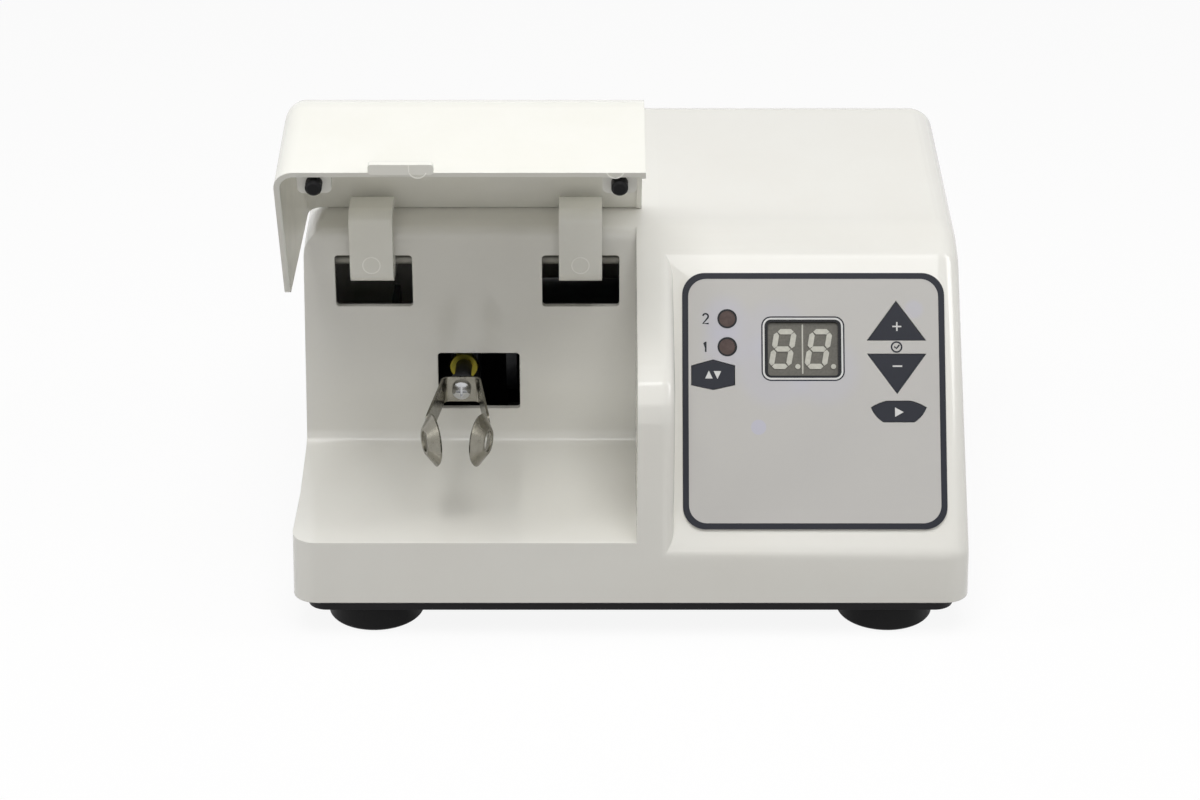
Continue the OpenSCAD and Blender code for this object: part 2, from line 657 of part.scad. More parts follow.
// Hinge rod, its clips and the brackets behind the rear wall
ear_in = hinge_window_w / 2 + 0.5;
ear_t = 2.5;
rod_x1 = left_hinge_x - ear_in - ear_t - 2;
rod_x2 = right_hinge_x + ear_in + ear_t + 2;
module hinge_rod() color("silver") translate([rod_x1, hinge_y, hinge_h]) rotate([0, 90, 0])
    difference() {
        cylinder(d = rod_d, h = rod_x2 - rod_x1);
        for (z = [0.8, rod_x2 - rod_x1 - 1.6]) translate([0, 0, z]) difference() {
            cylinder(d = rod_d + 1, h = 0.8);
            translate([0, 0, -1]) cylinder(d = rod_d - 1, h = 3);
        }
    }
module rod_clips() color("gray") for (x = [rod_x1 + 0.85, rod_x2 - 1.55])
    translate([x, hinge_y, hinge_h]) rotate([0, 90, 0]) linear_extrude(0.7) difference() {
        circle(d = rod_d + 4.5);
        circle(d = rod_d - 0.9);
        translate([0, -1]) square([10, 2]);
    }
bracket_y = rear_wall_y + casing_wall;
module hinge_bracket(x) color([0.8, 0.8, 0.8]) translate([x, 0, 0]) difference() {
    union() {
        translate([-ear_in - ear_t, bracket_y, sill_z - 6])
            cube([2 * (ear_in + ear_t), 2, hinge_window_h + 8]);
        for (s = [-1, 1]) translate([s * (ear_in + ear_t / 2) - ear_t / 2, bracket_y, hinge_h - 5])
            cube([ear_t, hinge_setback - casing_wall + 0.01, 9]);
        for (s = [-1, 1]) translate([s * (ear_in + ear_t / 2) - ear_t / 2, hinge_y, hinge_h])
            rotate([0, 90, 0]) cylinder(d = 9, h = ear_t);
    }
    translate([-ear_in, bracket_y - 1, sill_z - 0.5]) cube([2 * ear_in, 6, hinge_window_h + 1]);
    translate([-50, hinge_y, hinge_h]) rotate([0, 90, 0]) cylinder(d = rod_d + 0.1, h = 100);
}
module hinge_bracket_left() hinge_bracket(left_hinge_x);
module hinge_bracket_right() hinge_bracket(right_hinge_x);
module lid_sensor() color("black") translate([left_hinge_x - 5, bracket_y, sill_z - 18])
    cube([10, 5, 11]);

// Capsule fork: one bent strip of spring steel with a disc at the end of each arm
fork_half = fork_base_w / 2;
function splay_x(y) = fork_half + (fork_y - y) * tan(fork_splay);
disc_x = splay_x(fork_disc_y);
lip_y = fork_disc_y - fork_disc_d / 2 * cos(fork_bend);
lip_end_x = disc_x - fork_disc_d / 2 * sin(fork_bend);
module strip_2d(p, q) {
    d = q - p;
    translate(p) rotate(atan2(d[1], d[0])) translate([0, -fork_t / 2]) square([norm(d), fork_t]);
}
module joint_2d(p) translate(p) circle(d = fork_t * 1.04);
module fork_clip() color("silver") translate([fork_x, 0, fork_h]) difference() {
    intersection() {
        translate([0, 0, -20]) linear_extrude(40) {
            translate([-fork_half, fork_y - fork_t / 2]) square([fork_base_w, fork_t]);
            for (s = [-1, 1]) {
                joint_2d([s * fork_half, fork_y]);
                strip_2d([s * fork_half, fork_y], [s * disc_x, fork_disc_y]);
                joint_2d([s * disc_x, fork_disc_y]);
                strip_2d([s * disc_x, fork_disc_y], [s * lip_end_x, lip_y]);
            }
        }
        rotate([90, 0, 90]) translate([0, 0, -40]) linear_extrude(80) {
            translate([fork_disc_y, -fork_strip_w / 2]) square([fork_y + 2 - fork_disc_y, fork_strip_w]);
            translate([fork_disc_y, 0]) circle(d = fork_disc_d);
        }
    }
    translate([0, fork_disc_y, 0]) rotate([0, 90, 0]) cylinder(d = fork_hole_d, h = 80, center = true);
    translate([0, fork_y - 5, 0]) rotate([-90, 0, 0]) cylinder(d = 4.2, h = 10);
}
fork_back = fork_y + fork_t / 2;
collar_l = 3;
module fork_screw() color("silver") translate([fork_x, fork_y - fork_t / 2 - 0.02, fork_h])
    rotate([90, 0, 0]) pan_screw(3.9, fork_t + collar_l - 0.2, 6.8, 2.4);
module fork_collar() color("silver") translate([fork_x, fork_back + 0.02, fork_h]) rotate([-90, 0, 0])
    difference() {
        cylinder(d = 10.4, h = collar_l - 0.04);
        translate([0, 0, -1]) cylinder(d = 4.1, h = 10);
    }

// Swing arm: stud, nut and hub with its bearing round the oblique sleeve
hub_w = bearing_w + 2;
stud_end = shaft_y - bearing_d / 2 - 0.3;
module arm_stud() color([0.2, 0.2, 0.2]) translate([fork_x, fork_back + collar_l, fork_h])
    rotate([-90, 0, 0]) cylinder(d = stud_d, h = stud_end - fork_back - collar_l);
module stud_nut() color("gold") translate([fork_x, shaft_y - hub_d / 2 - 6.5, fork_h])
    rotate([-90, 0, 0]) difference() {
        cylinder(d = stud_d * 1.9, h = 4);
        translate([0, 0, -1]) cylinder(d = stud_d + 0.1, h = 10);
    }
module at_hub() translate([fork_x, shaft_y, fork_h]) rotate([0, 90, 0]) children();
spring_hook_z = 11;
lug_y1 = sqrt(pow(bearing_d / 2 + 0.8, 2) - pow(spring_hook_z - 2, 2));
lug_y2 = hub_d / 2 + 2;
module swing_hub() color([0.35, 0.35, 0.36]) difference() {
    union() {
        at_hub() translate([0, 0, -hub_w / 2]) cylinder(d = hub_d, h = hub_w);
        translate([fork_x, shaft_y - hub_d / 2 - 2, fork_h]) rotate([-90, 0, 0])
            cylinder(d = hub_w - 1, h = 4);
        for (s = [-1, 1]) translate([fork_x, shaft_y + lug_y1, fork_h + s * spring_hook_z])
            rotate([-90, 0, 0]) cylinder(d = 4, h = lug_y2 - lug_y1);
    }
    at_hub() translate([0, 0, -hub_w]) cylinder(d = bearing_d, h = 2 * hub_w);
    translate([fork_x, shaft_y - hub_d, fork_h]) rotate([-90, 0, 0])
        cylinder(d = stud_d + 0.1, h = hub_d - bearing_d / 2 - 0.25);
}
ball_n = 9;
bore_gap = 0.04;
module hub_bearing() color("silver") at_hub() {
    mid = (bearing_d + bearing_bore) / 4;
    for (r = [bearing_bore / 2 + 1, bearing_d / 2 - 1]) translate([0, 0, -bearing_w / 2])
        difference() {
            cylinder(r = r + 0.98, h = bearing_w);
            translate([0, 0, -1]) cylinder(r = r - 1, h = 20);
            translate([0, 0, bearing_w / 2]) rotate_extrude() translate([mid, 0]) circle(d = 4.6);
        }
    for (i = [0:ball_n - 1]) rotate(360 * i / ball_n) translate([mid, 0, 0]) sphere(d = 4.4);
}
module oblique_sleeve() color("silver") difference() {
    at_hub() rotate([sleeve_skew, 0, 0]) cylinder(d = sleeve_d, h = bearing_w + 1, center = true);
    at_hub() cylinder(d = shaft_d + bore_gap, h = 40, center = true);
}
support_x = fork_x - 26;
module motor_shaft() color("silver") translate([support_x - 5, shaft_y, fork_h]) rotate([0, 90, 0])
    cylinder(d = shaft_d, h = motor_x + motor_l - 4 - support_x + 5);
module balance_disc() color([0.5, 0.5, 0.52]) translate([motor_x - 12, shaft_y, fork_h])
    rotate([0, 90, 0]) difference() {
        union() {
            cylinder(d = disc_d, h = 4);
            cylinder(d = 12, h = 7);
        }
        translate([0, 0, -1]) cylinder(d = shaft_d + bore_gap, h = 20);
        for (a = [-40:20:40]) rotate(a) translate([disc_d / 2 - 5, 0, -1]) cylinder(d = 5, h = 10);
    }
module motor_can() color([0.55, 0.55, 0.57]) translate([motor_x, shaft_y, fork_h]) rotate([0, 90, 0])
    difference() {
        union() {
            cylinder(d = motor_d, h = motor_l);
            translate([0, 0, -2.4]) cylinder(d = 14, h = 5);
        }
        translate([0, 0, 2]) cylinder(d = motor_d - 4, h = motor_l);
        translate([0, 0, -5]) cylinder(d = shaft_d + 0.6, h = 20);
        for (s = [-1, 1]) translate([0, s * 16, -1]) cylinder(d = 3.4, h = 5);
    }
module motor_end_bell() color([0.12, 0.12, 0.12]) translate([motor_x + motor_l, shaft_y, fork_h])
    rotate([0, 90, 0]) difference() {
        union() {
            cylinder(d = motor_d - 1, h = 6);
            translate([0, 0, -3]) cylinder(d = motor_d - 4.1, h = 4);
            for (s = [-1, 1]) translate([s * 13 - 3, -2, 0]) cube([6, 4, 12]);
        }
        translate([0, 0, -5]) cylinder(d = shaft_d + 8, h = 6);
    }
frame_z = 8;
frame_t = 2.4;
frame_x1 = support_x - 2;
frame_x2 = motor_x + motor_l;
frame_y1 = shaft_y - 30;
frame_y2 = shaft_y + 44;
module drive_frame() color([0.45, 0.47, 0.5]) difference() {
    union() {
        translate([frame_x1, frame_y1, frame_z]) cube([frame_x2 - frame_x1, frame_y2 - frame_y1, frame_t]);
        translate([frame_x1, frame_y1 + 8, frame_z]) cube([frame_t, 44, fork_h - frame_z + 14]);
        translate([motor_x - frame_t, frame_y1 + 4, frame_z]) cube([frame_t, 52, fork_h - frame_z + 24]);
        translate([fork_x - 14, frame_y2 - frame_t, frame_z]) cube([28, frame_t, fork_h - frame_z + 20]);
    }
    translate([frame_x1 - 5, shaft_y, fork_h]) rotate([0, 90, 0]) cylinder(d = 16.05, h = 20);
    translate([motor_x - 5, shaft_y, fork_h]) rotate([0, 90, 0]) cylinder(d = 14.1, h = 8);
    for (s = [-1, 1]) translate([motor_x - 5, shaft_y + s * 16, fork_h]) rotate([0, 90, 0])
        cylinder(d = 3.4, h = 8);
    for (s = [-1, 1]) translate([fork_x, frame_y2 - 10, fork_h + s * spring_hook_z])
        rotate([-90, 0, 0]) cylinder(d = 2.2, h = 20);
    for (x = isolator_x) for (y = isolator_y) translate([x, y, 0]) cylinder(d = 6.4, h = 20);
}
isolator_x = [frame_x1 + 10, frame_x2 - 10];
isolator_y = [frame_y1 + 10, frame_y2 - 10];
module frame_isolators() color([0.1, 0.1, 0.1]) for (x = isolator_x) for (y = isolator_y)
    translate([x, y, tray_floor]) {
        cylinder(d = 12, h = frame_z - tray_floor);
        cylinder(d = 6.2, h = frame_z - tray_floor + frame_t);
        translate([0, 0, frame_z - tray_floor + frame_t]) cylinder(d = 9, h = 1.6);
    }
module support_bearing() color("silver") translate([frame_x1 - 0.6, shaft_y, fork_h]) rotate([0, 90, 0])
    difference() {
        union() {
            cylinder(d = 16, h = 5);
            cylinder(d = 18, h = 0.6);
        }
        translate([0, 0, -1]) cylinder(d = shaft_d + 0.1, h = 20);
    }
module motor_screws() color("silver") for (s = [-1, 1])
    translate([motor_x - frame_t - 0.05, shaft_y + s * 16, fork_h]) rotate([0, -90, 0])
        pan_screw(3, frame_t + 2, 5.6, 2);

// Centring springs: one unbroken wire each, wound round a straight line along Y
coil_turns = 9;
coil_r = 3.2;
wire_r = 0.45;
coil_steps = 8;
module spring(z) {
    y1 = shaft_y + lug_y2 + 0.3;
    y2 = frame_y2 - frame_t - 0.3;
    n = coil_turns * coil_steps;
    function axis_p(i) = [coil_r * cos(360 * i / coil_steps), y1 + (y2 - y1) * i / n,
        coil_r * sin(360 * i / coil_steps)];
    function ring(i) = let (a = 360 * i / coil_steps, c = axis_p(i)) [for (j = [0:5])
        c + wire_r * [cos(60 * j) * cos(a), sin(60 * j), cos(60 * j) * sin(a)]];
    pts = [for (i = [0:n]) each ring(i)];
    faces = concat([[for (j = [0:5]) j]], [[for (j = [5:-1:0]) n * 6 + j]],
        [for (i = [0:n - 1]) for (j = [0:5]) for (k = [0, 1]) k == 0
            ? [i * 6 + j, (i + 1) * 6 + j, i * 6 + (j + 1) % 6]
            : [i * 6 + (j + 1) % 6, (i + 1) * 6 + j, (i + 1) * 6 + (j + 1) % 6]]);
    translate([fork_x, 0, fork_h + z]) polyhedron(pts, faces);
}
module centring_spring_upper() color("silver") spring(spring_hook_z);
module centring_spring_lower() color("silver") spring(-spring_hook_z);

// Power supply: a board on four pillars, with a transformer and round capacitors
power_w = 54;
power_d = 62;
power_x = boss_x - boss_d / 2 - 4 - power_w;
power_y = 88;
pillar_h = 6;
pillar_in = 4;
pillar_p = [for (x = [pillar_in, power_w - pillar_in]) for (y = [pillar_in, power_d - pillar_in]) [x, y]];
module power_board() color("darkgreen") translate([power_x, power_y, tray_floor + pillar_h])
    linear_extrude(board_t) difference() {
        square([power_w, power_d]);
        for (p = pillar_p) translate(p) circle(d = 3.2);
    }
core_w = 30;
core_d = 42;
core_h = 32;
core_t = 8;
module transformer() color([0.3, 0.3, 0.32])
    translate([power_x + 2, power_y + pillar_in + core_t, tray_floor + pillar_h + board_t]) {
        rotate([90, 0, 90]) linear_extrude(core_w) difference() {
            square([core_d - 4, core_h]);
            translate([core_t, core_t]) square([core_d - 4 - 2 * core_t, core_h - 2 * core_t]);
        }
        translate([4, core_t, core_t]) cube([core_w - 8, core_d - 4 - 2 * core_t, core_h - 2 * core_t]);
    }
cap_p = [[13, 13, 22], [12, 29, 16], [12, 42, 14]];
module power_parts() color([0.15, 0.15, 0.18]) translate([power_x, power_y, tray_floor]) {
    for (p = pillar_p) translate(p) cylinder(d = 7, h = pillar_h);
    for (c = cap_p) translate([power_w - c[0], c[1], pillar_h + board_t]) cylinder(d = 11, h = c[2]);
}

// Rear fittings: inlet, fuse and rocker switch
module at_back(x, z) translate([x, casing_d, z]) rotate([-90, 0, 0]) children();
module mains_inlet() color([0.08, 0.08, 0.08]) at_back(inlet_x, inlet_z) difference() {
    union() {
        linear_extrude(2.6) hull() {
            square([30, 22.5], center = true);
            for (s = [-1, 1]) translate([s * 20, 0]) circle(5, $fn = 32);
        }
        translate([-inlet_w / 2 + 0.2, -inlet_h / 2 + 0.2, -18])
            cube([inlet_w - 0.4, inlet_h - 0.4, 18]);
    }
    translate([0, 0, -13]) linear_extrude(20) polygon([[-11.8, -8], [11.8, -8], [11.8, 3.5],
        [7.5, 8], [-7.5, 8], [-11.8, 3.5]]);
    for (s = [-1, 1]) translate([s * 20, 0, -1]) cylinder(d = 3.4, h = 10);
    for (p = pin_p) translate([p[0] - 2.05, p[1] - 1.05, -20]) cube([4.1, 2.1, 10]);
}
pin_p = [[0, 3], [-7, -1], [7, -1]];
module inlet_pins() color("silver") at_back(inlet_x, inlet_z) for (p = pin_p)
    translate([p[0] - 2, p[1] - 1, -24]) cube([4, 2, 19]);
module inlet_screws() color("silver") at_back(inlet_x, inlet_z) for (s = [-1, 1])
    translate([s * 20, 0, 2.65]) pan_screw(3, 9, 5.6, 2);
module fuse_holder() color([0.1, 0.1, 0.1]) at_back(fuse_x, inlet_z) difference() {
    union() {
        cylinder(d = 16, h = 2);
        cylinder(d = 11, h = 7);
        translate([0, 0, -26]) cylinder(d = fuse_d - 0.2, h = 26.5);
    }
    translate([-6, -0.8, 5.5]) cube([12, 1.6, 3]);
}
module switch_frame() color([0.1, 0.1, 0.1]) at_back(switch_x, inlet_z) difference() {
    union() {
        translate([-12, -9, 0]) linear_extrude(2) rounded(24, 18, 1.5);
        translate([-switch_w / 2 + 0.1, -switch_h / 2 + 0.1, -16])
            cube([switch_w - 0.2, switch_h - 0.2, 16.5]);
    }
    translate([-9.2, -rocker_w / 2 - 0.3, -11]) cube([18.4, rocker_w + 0.6, 20]);
    translate([0, 0, -pivot_in]) rotate([90, 0, 0])
        cylinder(d = pivot_d + 0.2, h = pivot_l + 0.2, center = true);
}
rocker_tilt = 9;
rocker_w = 10.8;
pivot_in = 2;
pivot_d = 3;
pivot_l = rocker_w + 2;
module switch_rocker() color([0.13, 0.13, 0.13]) at_back(switch_x, inlet_z)
    translate([0, 0, -pivot_in]) rotate([90, 0, 0]) {
        rotate(-rocker_tilt) linear_extrude(rocker_w, center = true) difference() {
            intersection() {
                translate([-8.4, -4]) square([16.8, 10]);
                translate([0, -1]) circle(9.2, $fn = 96);
            }
            translate([0, 21]) circle(16.2, $fn = 96);
        }
        cylinder(d = pivot_d, h = pivot_l, center = true);
    }

at_casing() casing();
at_casing() base_tray();
at_casing() foot_front_left();
at_casing() foot_front_right();
at_casing() foot_rear_left();
at_casing() foot_rear_right();
at_casing() foot_screws();
at_casing() casing_screws();
at_casing() panel_overlay();
at_casing() display_module();
at_casing() display_digits();
at_casing() indicator_lamps();
at_casing() control_board();
at_casing() key_switches();
at_casing() board_spacers();
at_casing() key_mode();
at_casing() key_up();
at_casing() key_down();
at_casing() key_start();
at_casing() lid_shell();
at_casing() lid_arm_left();
at_casing() lid_arm_right();
at_casing() lid_buffer_left();
at_casing() lid_buffer_right();
at_casing() lid_magnet();
at_casing() hinge_rod();
at_casing() rod_clips();
at_casing() hinge_bracket_left();
at_casing() hinge_bracket_right();
at_casing() lid_sensor();
at_casing() drive_frame();
at_casing() frame_isolators();
at_casing() support_bearing();
at_casing() motor_can();
at_casing() motor_end_bell();
at_casing() motor_screws();
at_casing() motor_shaft();
at_casing() oblique_sleeve();
at_casing() balance_disc();
at_casing() swing_hub();
at_casing() hub_bearing();
at_casing() arm_stud();
at_casing() stud_nut();
at_casing() fork_collar();
at_casing() fork_clip();
at_casing() fork_screw();
at_casing() centring_spring_upper();
at_casing() centring_spring_lower();
at_casing() power_board();
at_casing() transformer();
at_casing() power_parts();
at_casing() mains_inlet();
at_casing() inlet_pins();
at_casing() inlet_screws();
at_casing() fuse_holder();
at_casing() switch_frame();
at_casing() switch_rocker();
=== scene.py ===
"""Dresses a bench capsule mixer: finishes, spring fork, printed marks, small trim, studio and camera.

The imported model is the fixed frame. Sizes are in millimetres unless a name says
otherwise, and every piece is placed from the frame's own boxes and joints.
"""

import json
import logging
import math
from dataclasses import dataclass, field, replace
from enum import Enum
from typing import ClassVar

import bmesh
import bpy
from mathutils import Matrix, Vector
from mathutils.bvhtree import BVHTree


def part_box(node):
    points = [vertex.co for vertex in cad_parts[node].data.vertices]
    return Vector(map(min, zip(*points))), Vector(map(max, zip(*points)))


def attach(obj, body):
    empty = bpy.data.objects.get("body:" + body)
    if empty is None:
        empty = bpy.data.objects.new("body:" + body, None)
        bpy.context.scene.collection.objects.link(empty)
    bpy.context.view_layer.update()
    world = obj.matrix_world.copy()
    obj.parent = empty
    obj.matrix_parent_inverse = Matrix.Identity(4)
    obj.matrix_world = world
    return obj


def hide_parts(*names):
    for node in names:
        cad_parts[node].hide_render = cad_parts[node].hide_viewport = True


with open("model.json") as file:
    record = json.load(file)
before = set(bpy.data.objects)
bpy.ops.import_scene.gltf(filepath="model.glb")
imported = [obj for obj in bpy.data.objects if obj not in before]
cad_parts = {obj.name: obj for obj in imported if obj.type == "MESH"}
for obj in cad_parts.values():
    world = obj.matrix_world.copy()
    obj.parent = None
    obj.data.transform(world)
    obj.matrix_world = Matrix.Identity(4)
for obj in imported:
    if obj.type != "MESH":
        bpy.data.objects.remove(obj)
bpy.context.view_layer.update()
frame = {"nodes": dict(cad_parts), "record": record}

LOG = logging.getLogger("capsule_mixer")
MM = 0.001
# The angle over which an edge stays sharp, on a CAD node and on a piece made here
NODE_SHARP = 28.0
PIECE_SHARP = 30.0
# Points nearer than this are one point
WELD_M = 2e-6
# Sides of a small round piece
ROUND_SIDES = 48

Outline = list[tuple[float, float]]
Ring = list[tuple[float, float, float]]


def to_linear(hex_code: str) -> tuple[float, float, float, float]:
    """Turns an sRGB hex colour into the linear values that a shader takes.

    Args:
        hex_code: the colour, such as "#E8E6E1".

    Returns:
        Red, green and blue in linear light, and a full alpha.
    """
    channels = [int(hex_code[i : i + 2], 16) / 255 for i in (1, 3, 5)]
    linear = [c / 12.92 if c <= 0.04045 else ((c + 0.055) / 1.055) ** 2.4 for c in channels]
    return (linear[0], linear[1], linear[2], 1.0)


def add_node(
    tree: bpy.types.NodeTree, kind: str, inputs: dict | None = None, **settings: object
) -> bpy.types.Node:
    """Adds one node to a tree with its settings, values and links.

    Args:
        tree: the tree that gets the node.
        kind: the node's type name.
        inputs: socket name or number, to a value or to another node's output socket.
        settings: the node's own properties.

    Returns:
        The new node.
    """
    made = tree.nodes.new(kind)
    for name, value in settings.items():
        setattr(made, name, value)
    for key, value in (inputs or {}).items():
        socket = made.inputs[key]
        if isinstance(value, bpy.types.NodeSocket):
            tree.links.new(value, socket)
        else:
            socket.default_value = value
    return made


@dataclass(frozen=True)
class Finish:
    """A surface finish: the shader's own values, and the detail that its making leaves.

    The mottle is the slow drift between two colours, and the grain is a fine bump.
    """

    cloud_detail: ClassVar[float] = 4.0
    cloud_roughness: ClassVar[float] = 0.6
    cloud_band: ClassVar[tuple[float, float]] = (0.3, 0.7)
    grain_detail: ClassVar[float] = 2.0
    edge_samples: ClassVar[int] = 6

    name: str
    colour: str
    roughness: float
    metallic: float = 0.0
    ior: float = 1.5
    second_colour: str = ""
    mottle_mm: float = 18.0
    mottle: float = 0.3
    rough_swing: float = 0.0
    grain_mm: float = 0.0
    grain_height_mm: float = 0.0
    grain_stretch: tuple[float, float, float] = (1.0, 1.0, 1.0)
    edge_mm: float = 0.0

    def build(self) -> bpy.types.Material:
        """Makes the material, unless it is there already.

        Returns:
            The material.
        """
        found = bpy.data.materials.get(self.name)
        if found:
            return found
        material = bpy.data.materials.new(self.name)
        material.use_nodes = True
        tree = material.node_tree
        shader = tree.nodes["Principled BSDF"]
        shader.inputs["Metallic"].default_value = self.metallic
        if not self.metallic:
            shader.inputs["IOR"].default_value = self.ior
        place = add_node(tree, "ShaderNodeTexCoord").outputs["Object"]
        drift = {"Vector": place, "Scale": 1 / (self.mottle_mm * MM)}
        drift |= {"Detail": self.cloud_detail, "Roughness": self.cloud_roughness}
        cloud = add_node(tree, "ShaderNodeTexNoise", drift).outputs["Fac"]
        tree.links.new(self.paint(tree, place, cloud), shader.inputs["Base Color"])
        self.polish(tree, shader, cloud)
        self.emboss(tree, shader, place)
        material.diffuse_color = to_linear(self.colour)
        return material

    def paint(
        self, tree: bpy.types.NodeTree, place: bpy.types.NodeSocket, cloud: bpy.types.NodeSocket
    ) -> bpy.types.NodeSocket:
        """Blends the two colours in slow clouds, as moulding and handling leave them.

        Args:
            tree: the material's tree.
            place: the position on the object.
            cloud: a slow noise.

        Returns:
            The colour's socket.
        """
        ends = {1: 0.5 - self.mottle, 2: 0.5 + self.mottle}
        share = add_node(tree, "ShaderNodeMapRange", {0: cloud} | ends)
        colours = {6: to_linear(self.colour), 7: to_linear(self.second_colour or self.colour)}
        mixed = {0: share.outputs[0]} | colours
        return add_node(tree, "ShaderNodeMix", mixed, data_type="RGBA").outputs[2]

    def polish(
        self, tree: bpy.types.NodeTree, shader: bpy.types.Node, cloud: bpy.types.NodeSocket
    ) -> None:
        """Sets the roughness, which swings slowly where the surface has been touched.

        Args:
            tree: the material's tree.
            shader: its shader.
            cloud: a slow noise.
        """
        shader.inputs["Roughness"].default_value = self.roughness
        if self.rough_swing:
            low, high = self.cloud_band
            ends = {1: low, 2: high}
            ends |= {3: self.roughness - self.rough_swing, 4: self.roughness + self.rough_swing}
            rough = add_node(tree, "ShaderNodeMapRange", {0: cloud} | ends)
            tree.links.new(rough.outputs[0], shader.inputs["Roughness"])

    def emboss(
        self, tree: bpy.types.NodeTree, shader: bpy.types.Node, place: bpy.types.NodeSocket
    ) -> None:
        """Rounds the shading of the edges and adds the surface grain.

        Args:
            tree: the material's tree.
            shader: its shader.
            place: the position on the object.
        """
        normal = None
        if self.edge_mm:
            radius = {"Radius": self.edge_mm * MM}
            normal = add_node(tree, "ShaderNodeBevel", radius, samples=self.edge_samples).outputs[0]
        if self.grain_mm:
            scaled = {0: place, 1: self.grain_stretch}
            stretched = add_node(tree, "ShaderNodeVectorMath", scaled, operation="MULTIPLY").outputs[0]
            fine = {"Vector": stretched, "Scale": 1 / (self.grain_mm * MM), "Detail": self.grain_detail}
            grain = add_node(tree, "ShaderNodeTexNoise", fine).outputs["Fac"]
            bump = {"Height": grain, "Distance": self.grain_height_mm * MM, "Strength": 1.0}
            if normal:
                bump["Normal"] = normal
            normal = add_node(tree, "ShaderNodeBump", bump).outputs[0]
        if normal:
            tree.links.new(normal, shader.inputs["Normal"])


@dataclass(frozen=True)
class Spot:
    """A faint round print on the film: its place, radius, soft edge and strength."""

    x: float
    y: float
    radius: float
    softness: float
    share: float


@dataclass(frozen=True)
class FilmFinish(Finish):
    """A printed film with faint tinted spots, placed in the panel's own plane."""

    tint: str = "#B3B3C9"
    spots: tuple[Spot, ...] = ()
    to_panel: Matrix = field(default_factory=lambda: Matrix.Identity(4))

    def paint(
        self, tree: bpy.types.NodeTree, place: bpy.types.NodeSocket, cloud: bpy.types.NodeSocket
    ) -> bpy.types.NodeSocket:
        """Adds the spots to the film's own colour.

        Args:
            tree: the material's tree.
            place: the position on the object.
            cloud: a slow noise.

        Returns:
            The colour's socket.
        """
        colour = super().paint(tree, place, cloud)
        turned = {"Location": self.to_panel.translation, "Rotation": self.to_panel.to_euler()}
        flat = add_node(tree, "ShaderNodeMapping", {"Vector": place} | turned).outputs[0]
        for spot in self.spots:
            apart = {0: flat, 1: (spot.x * MM, spot.y * MM, 0.0)}
            away = add_node(tree, "ShaderNodeVectorMath", apart, operation="DISTANCE").outputs[1]
            ends = {1: (spot.radius - spot.softness) * MM, 2: (spot.radius + spot.softness) * MM}
            fade = {0: away, 3: spot.share, 4: 0.0} | ends
            share = add_node(tree, "ShaderNodeMapRange", fade, interpolation_type="SMOOTHSTEP")
            mixed = {0: share.outputs[0], 6: colour, 7: to_linear(self.tint)}
            colour = add_node(tree, "ShaderNodeMix", mixed, data_type="RGBA").outputs[2]
        return colour


# Acrylonitrile butadiene styrene, injection moulded in a polished tool: glossy warm white,
# with the faint waviness that shrinking leaves in a large wall.
CASING_ABS = Finish(
    "casing_abs_gloss_white", "#E8E7E1", 0.14, ior=1.54, second_colour="#E5E3DC",
    mottle_mm=45, rough_swing=0.02, grain_mm=14, grain_height_mm=0.012, edge_mm=0.45,
)
# The casing's plastic, a little less glossy, and painted lighter as painted light: the lighter colour
# stands in for the brighter light that falls on the open lid's top.
LID_ABS_PAINTED_LIGHTER = Finish(
    "lid_abs_white_painted_lighter", "#F1F0E9", 0.2, ior=1.54, second_colour="#ECEBE2",
    mottle_mm=30, rough_swing=0.05, grain_mm=10, grain_height_mm=0.012, edge_mm=0.35,
)
# The lid's plastic in the raised witness lines of pins and gates: paler, as thin flash is.
WITNESS_ABS = Finish(
    "lid_abs_witness_line", "#FFFEF8", 0.3, ior=1.54, second_colour="#FBFAF3", mottle_mm=5,
)
# Black ABS with a spark-eroded mould texture: dull, with a fine pebble grain. Its IOR is
# set low, because the texture swallows part of the gloss.
BLACK_ABS = Finish(
    "base_abs_black_textured", "#121114", 0.45, ior=1.3, second_colour="#19181B",
    rough_swing=0.06, grain_mm=0.9, grain_height_mm=0.04, edge_mm=0.3,
)
# Nitrile rubber, compression moulded: near black and matt, with a mould bloom.
BLACK_RUBBER = Finish(
    "foot_nitrile_rubber", "#0C0C0D", 0.5, ior=1.25, second_colour="#141415",
    mottle_mm=6, rough_swing=0.08, grain_mm=0.7, grain_height_mm=0.03, edge_mm=0.4,
)
# Polyester film printed on its back: even warm grey with a fine velvet texture, and
# faint lilac prints round the lamps, beside the display and over two hidden lamps.
OVERLAY_FILM = FilmFinish(
    "overlay_polyester_film", "#B9B7B3", 0.34, ior=1.5, second_colour="#B5B3B0",
    mottle_mm=40, grain_mm=0.8, grain_height_mm=0.005, edge_mm=0.2,
)
# Screen ink under the film: dark slate, with little of the film's gloss over it.
SLATE_INK = Finish(
    "screen_ink_slate", "#22242C", 0.36, ior=1.33, second_colour="#1F2129",
    mottle_mm=8, grain_mm=0.8, grain_height_mm=0.005,
)
# Screen ink in pale grey, for the signs on the dark keys.
PALE_INK = Finish("screen_ink_pale", "#D0D0CE", 0.4, ior=1.57, second_colour="#C4C4C2", mottle_mm=3)
# Silk-screen ink, black, round the display and its windows.
BLACK_INK = Finish("screen_ink_black", "#131417", 0.3, ior=1.33, second_colour="#17181B", mottle_mm=5)
# Epoxy face of a numeric display: grey, with scattered filler grains.
DISPLAY_EPOXY = Finish(
    "display_epoxy_grey", "#68665F", 0.45, ior=1.4, second_colour="#5A5852",
    mottle_mm=0.9, mottle=0.2, grain_mm=0.6, grain_height_mm=0.01,
)
# Diffusing epoxy in a segment that is off: milky white.
SEGMENT_EPOXY = Finish(
    "segment_epoxy_milky", "#C2C1B7", 0.4, ior=1.5, second_colour="#ABAAA0", mottle_mm=1.4,
)
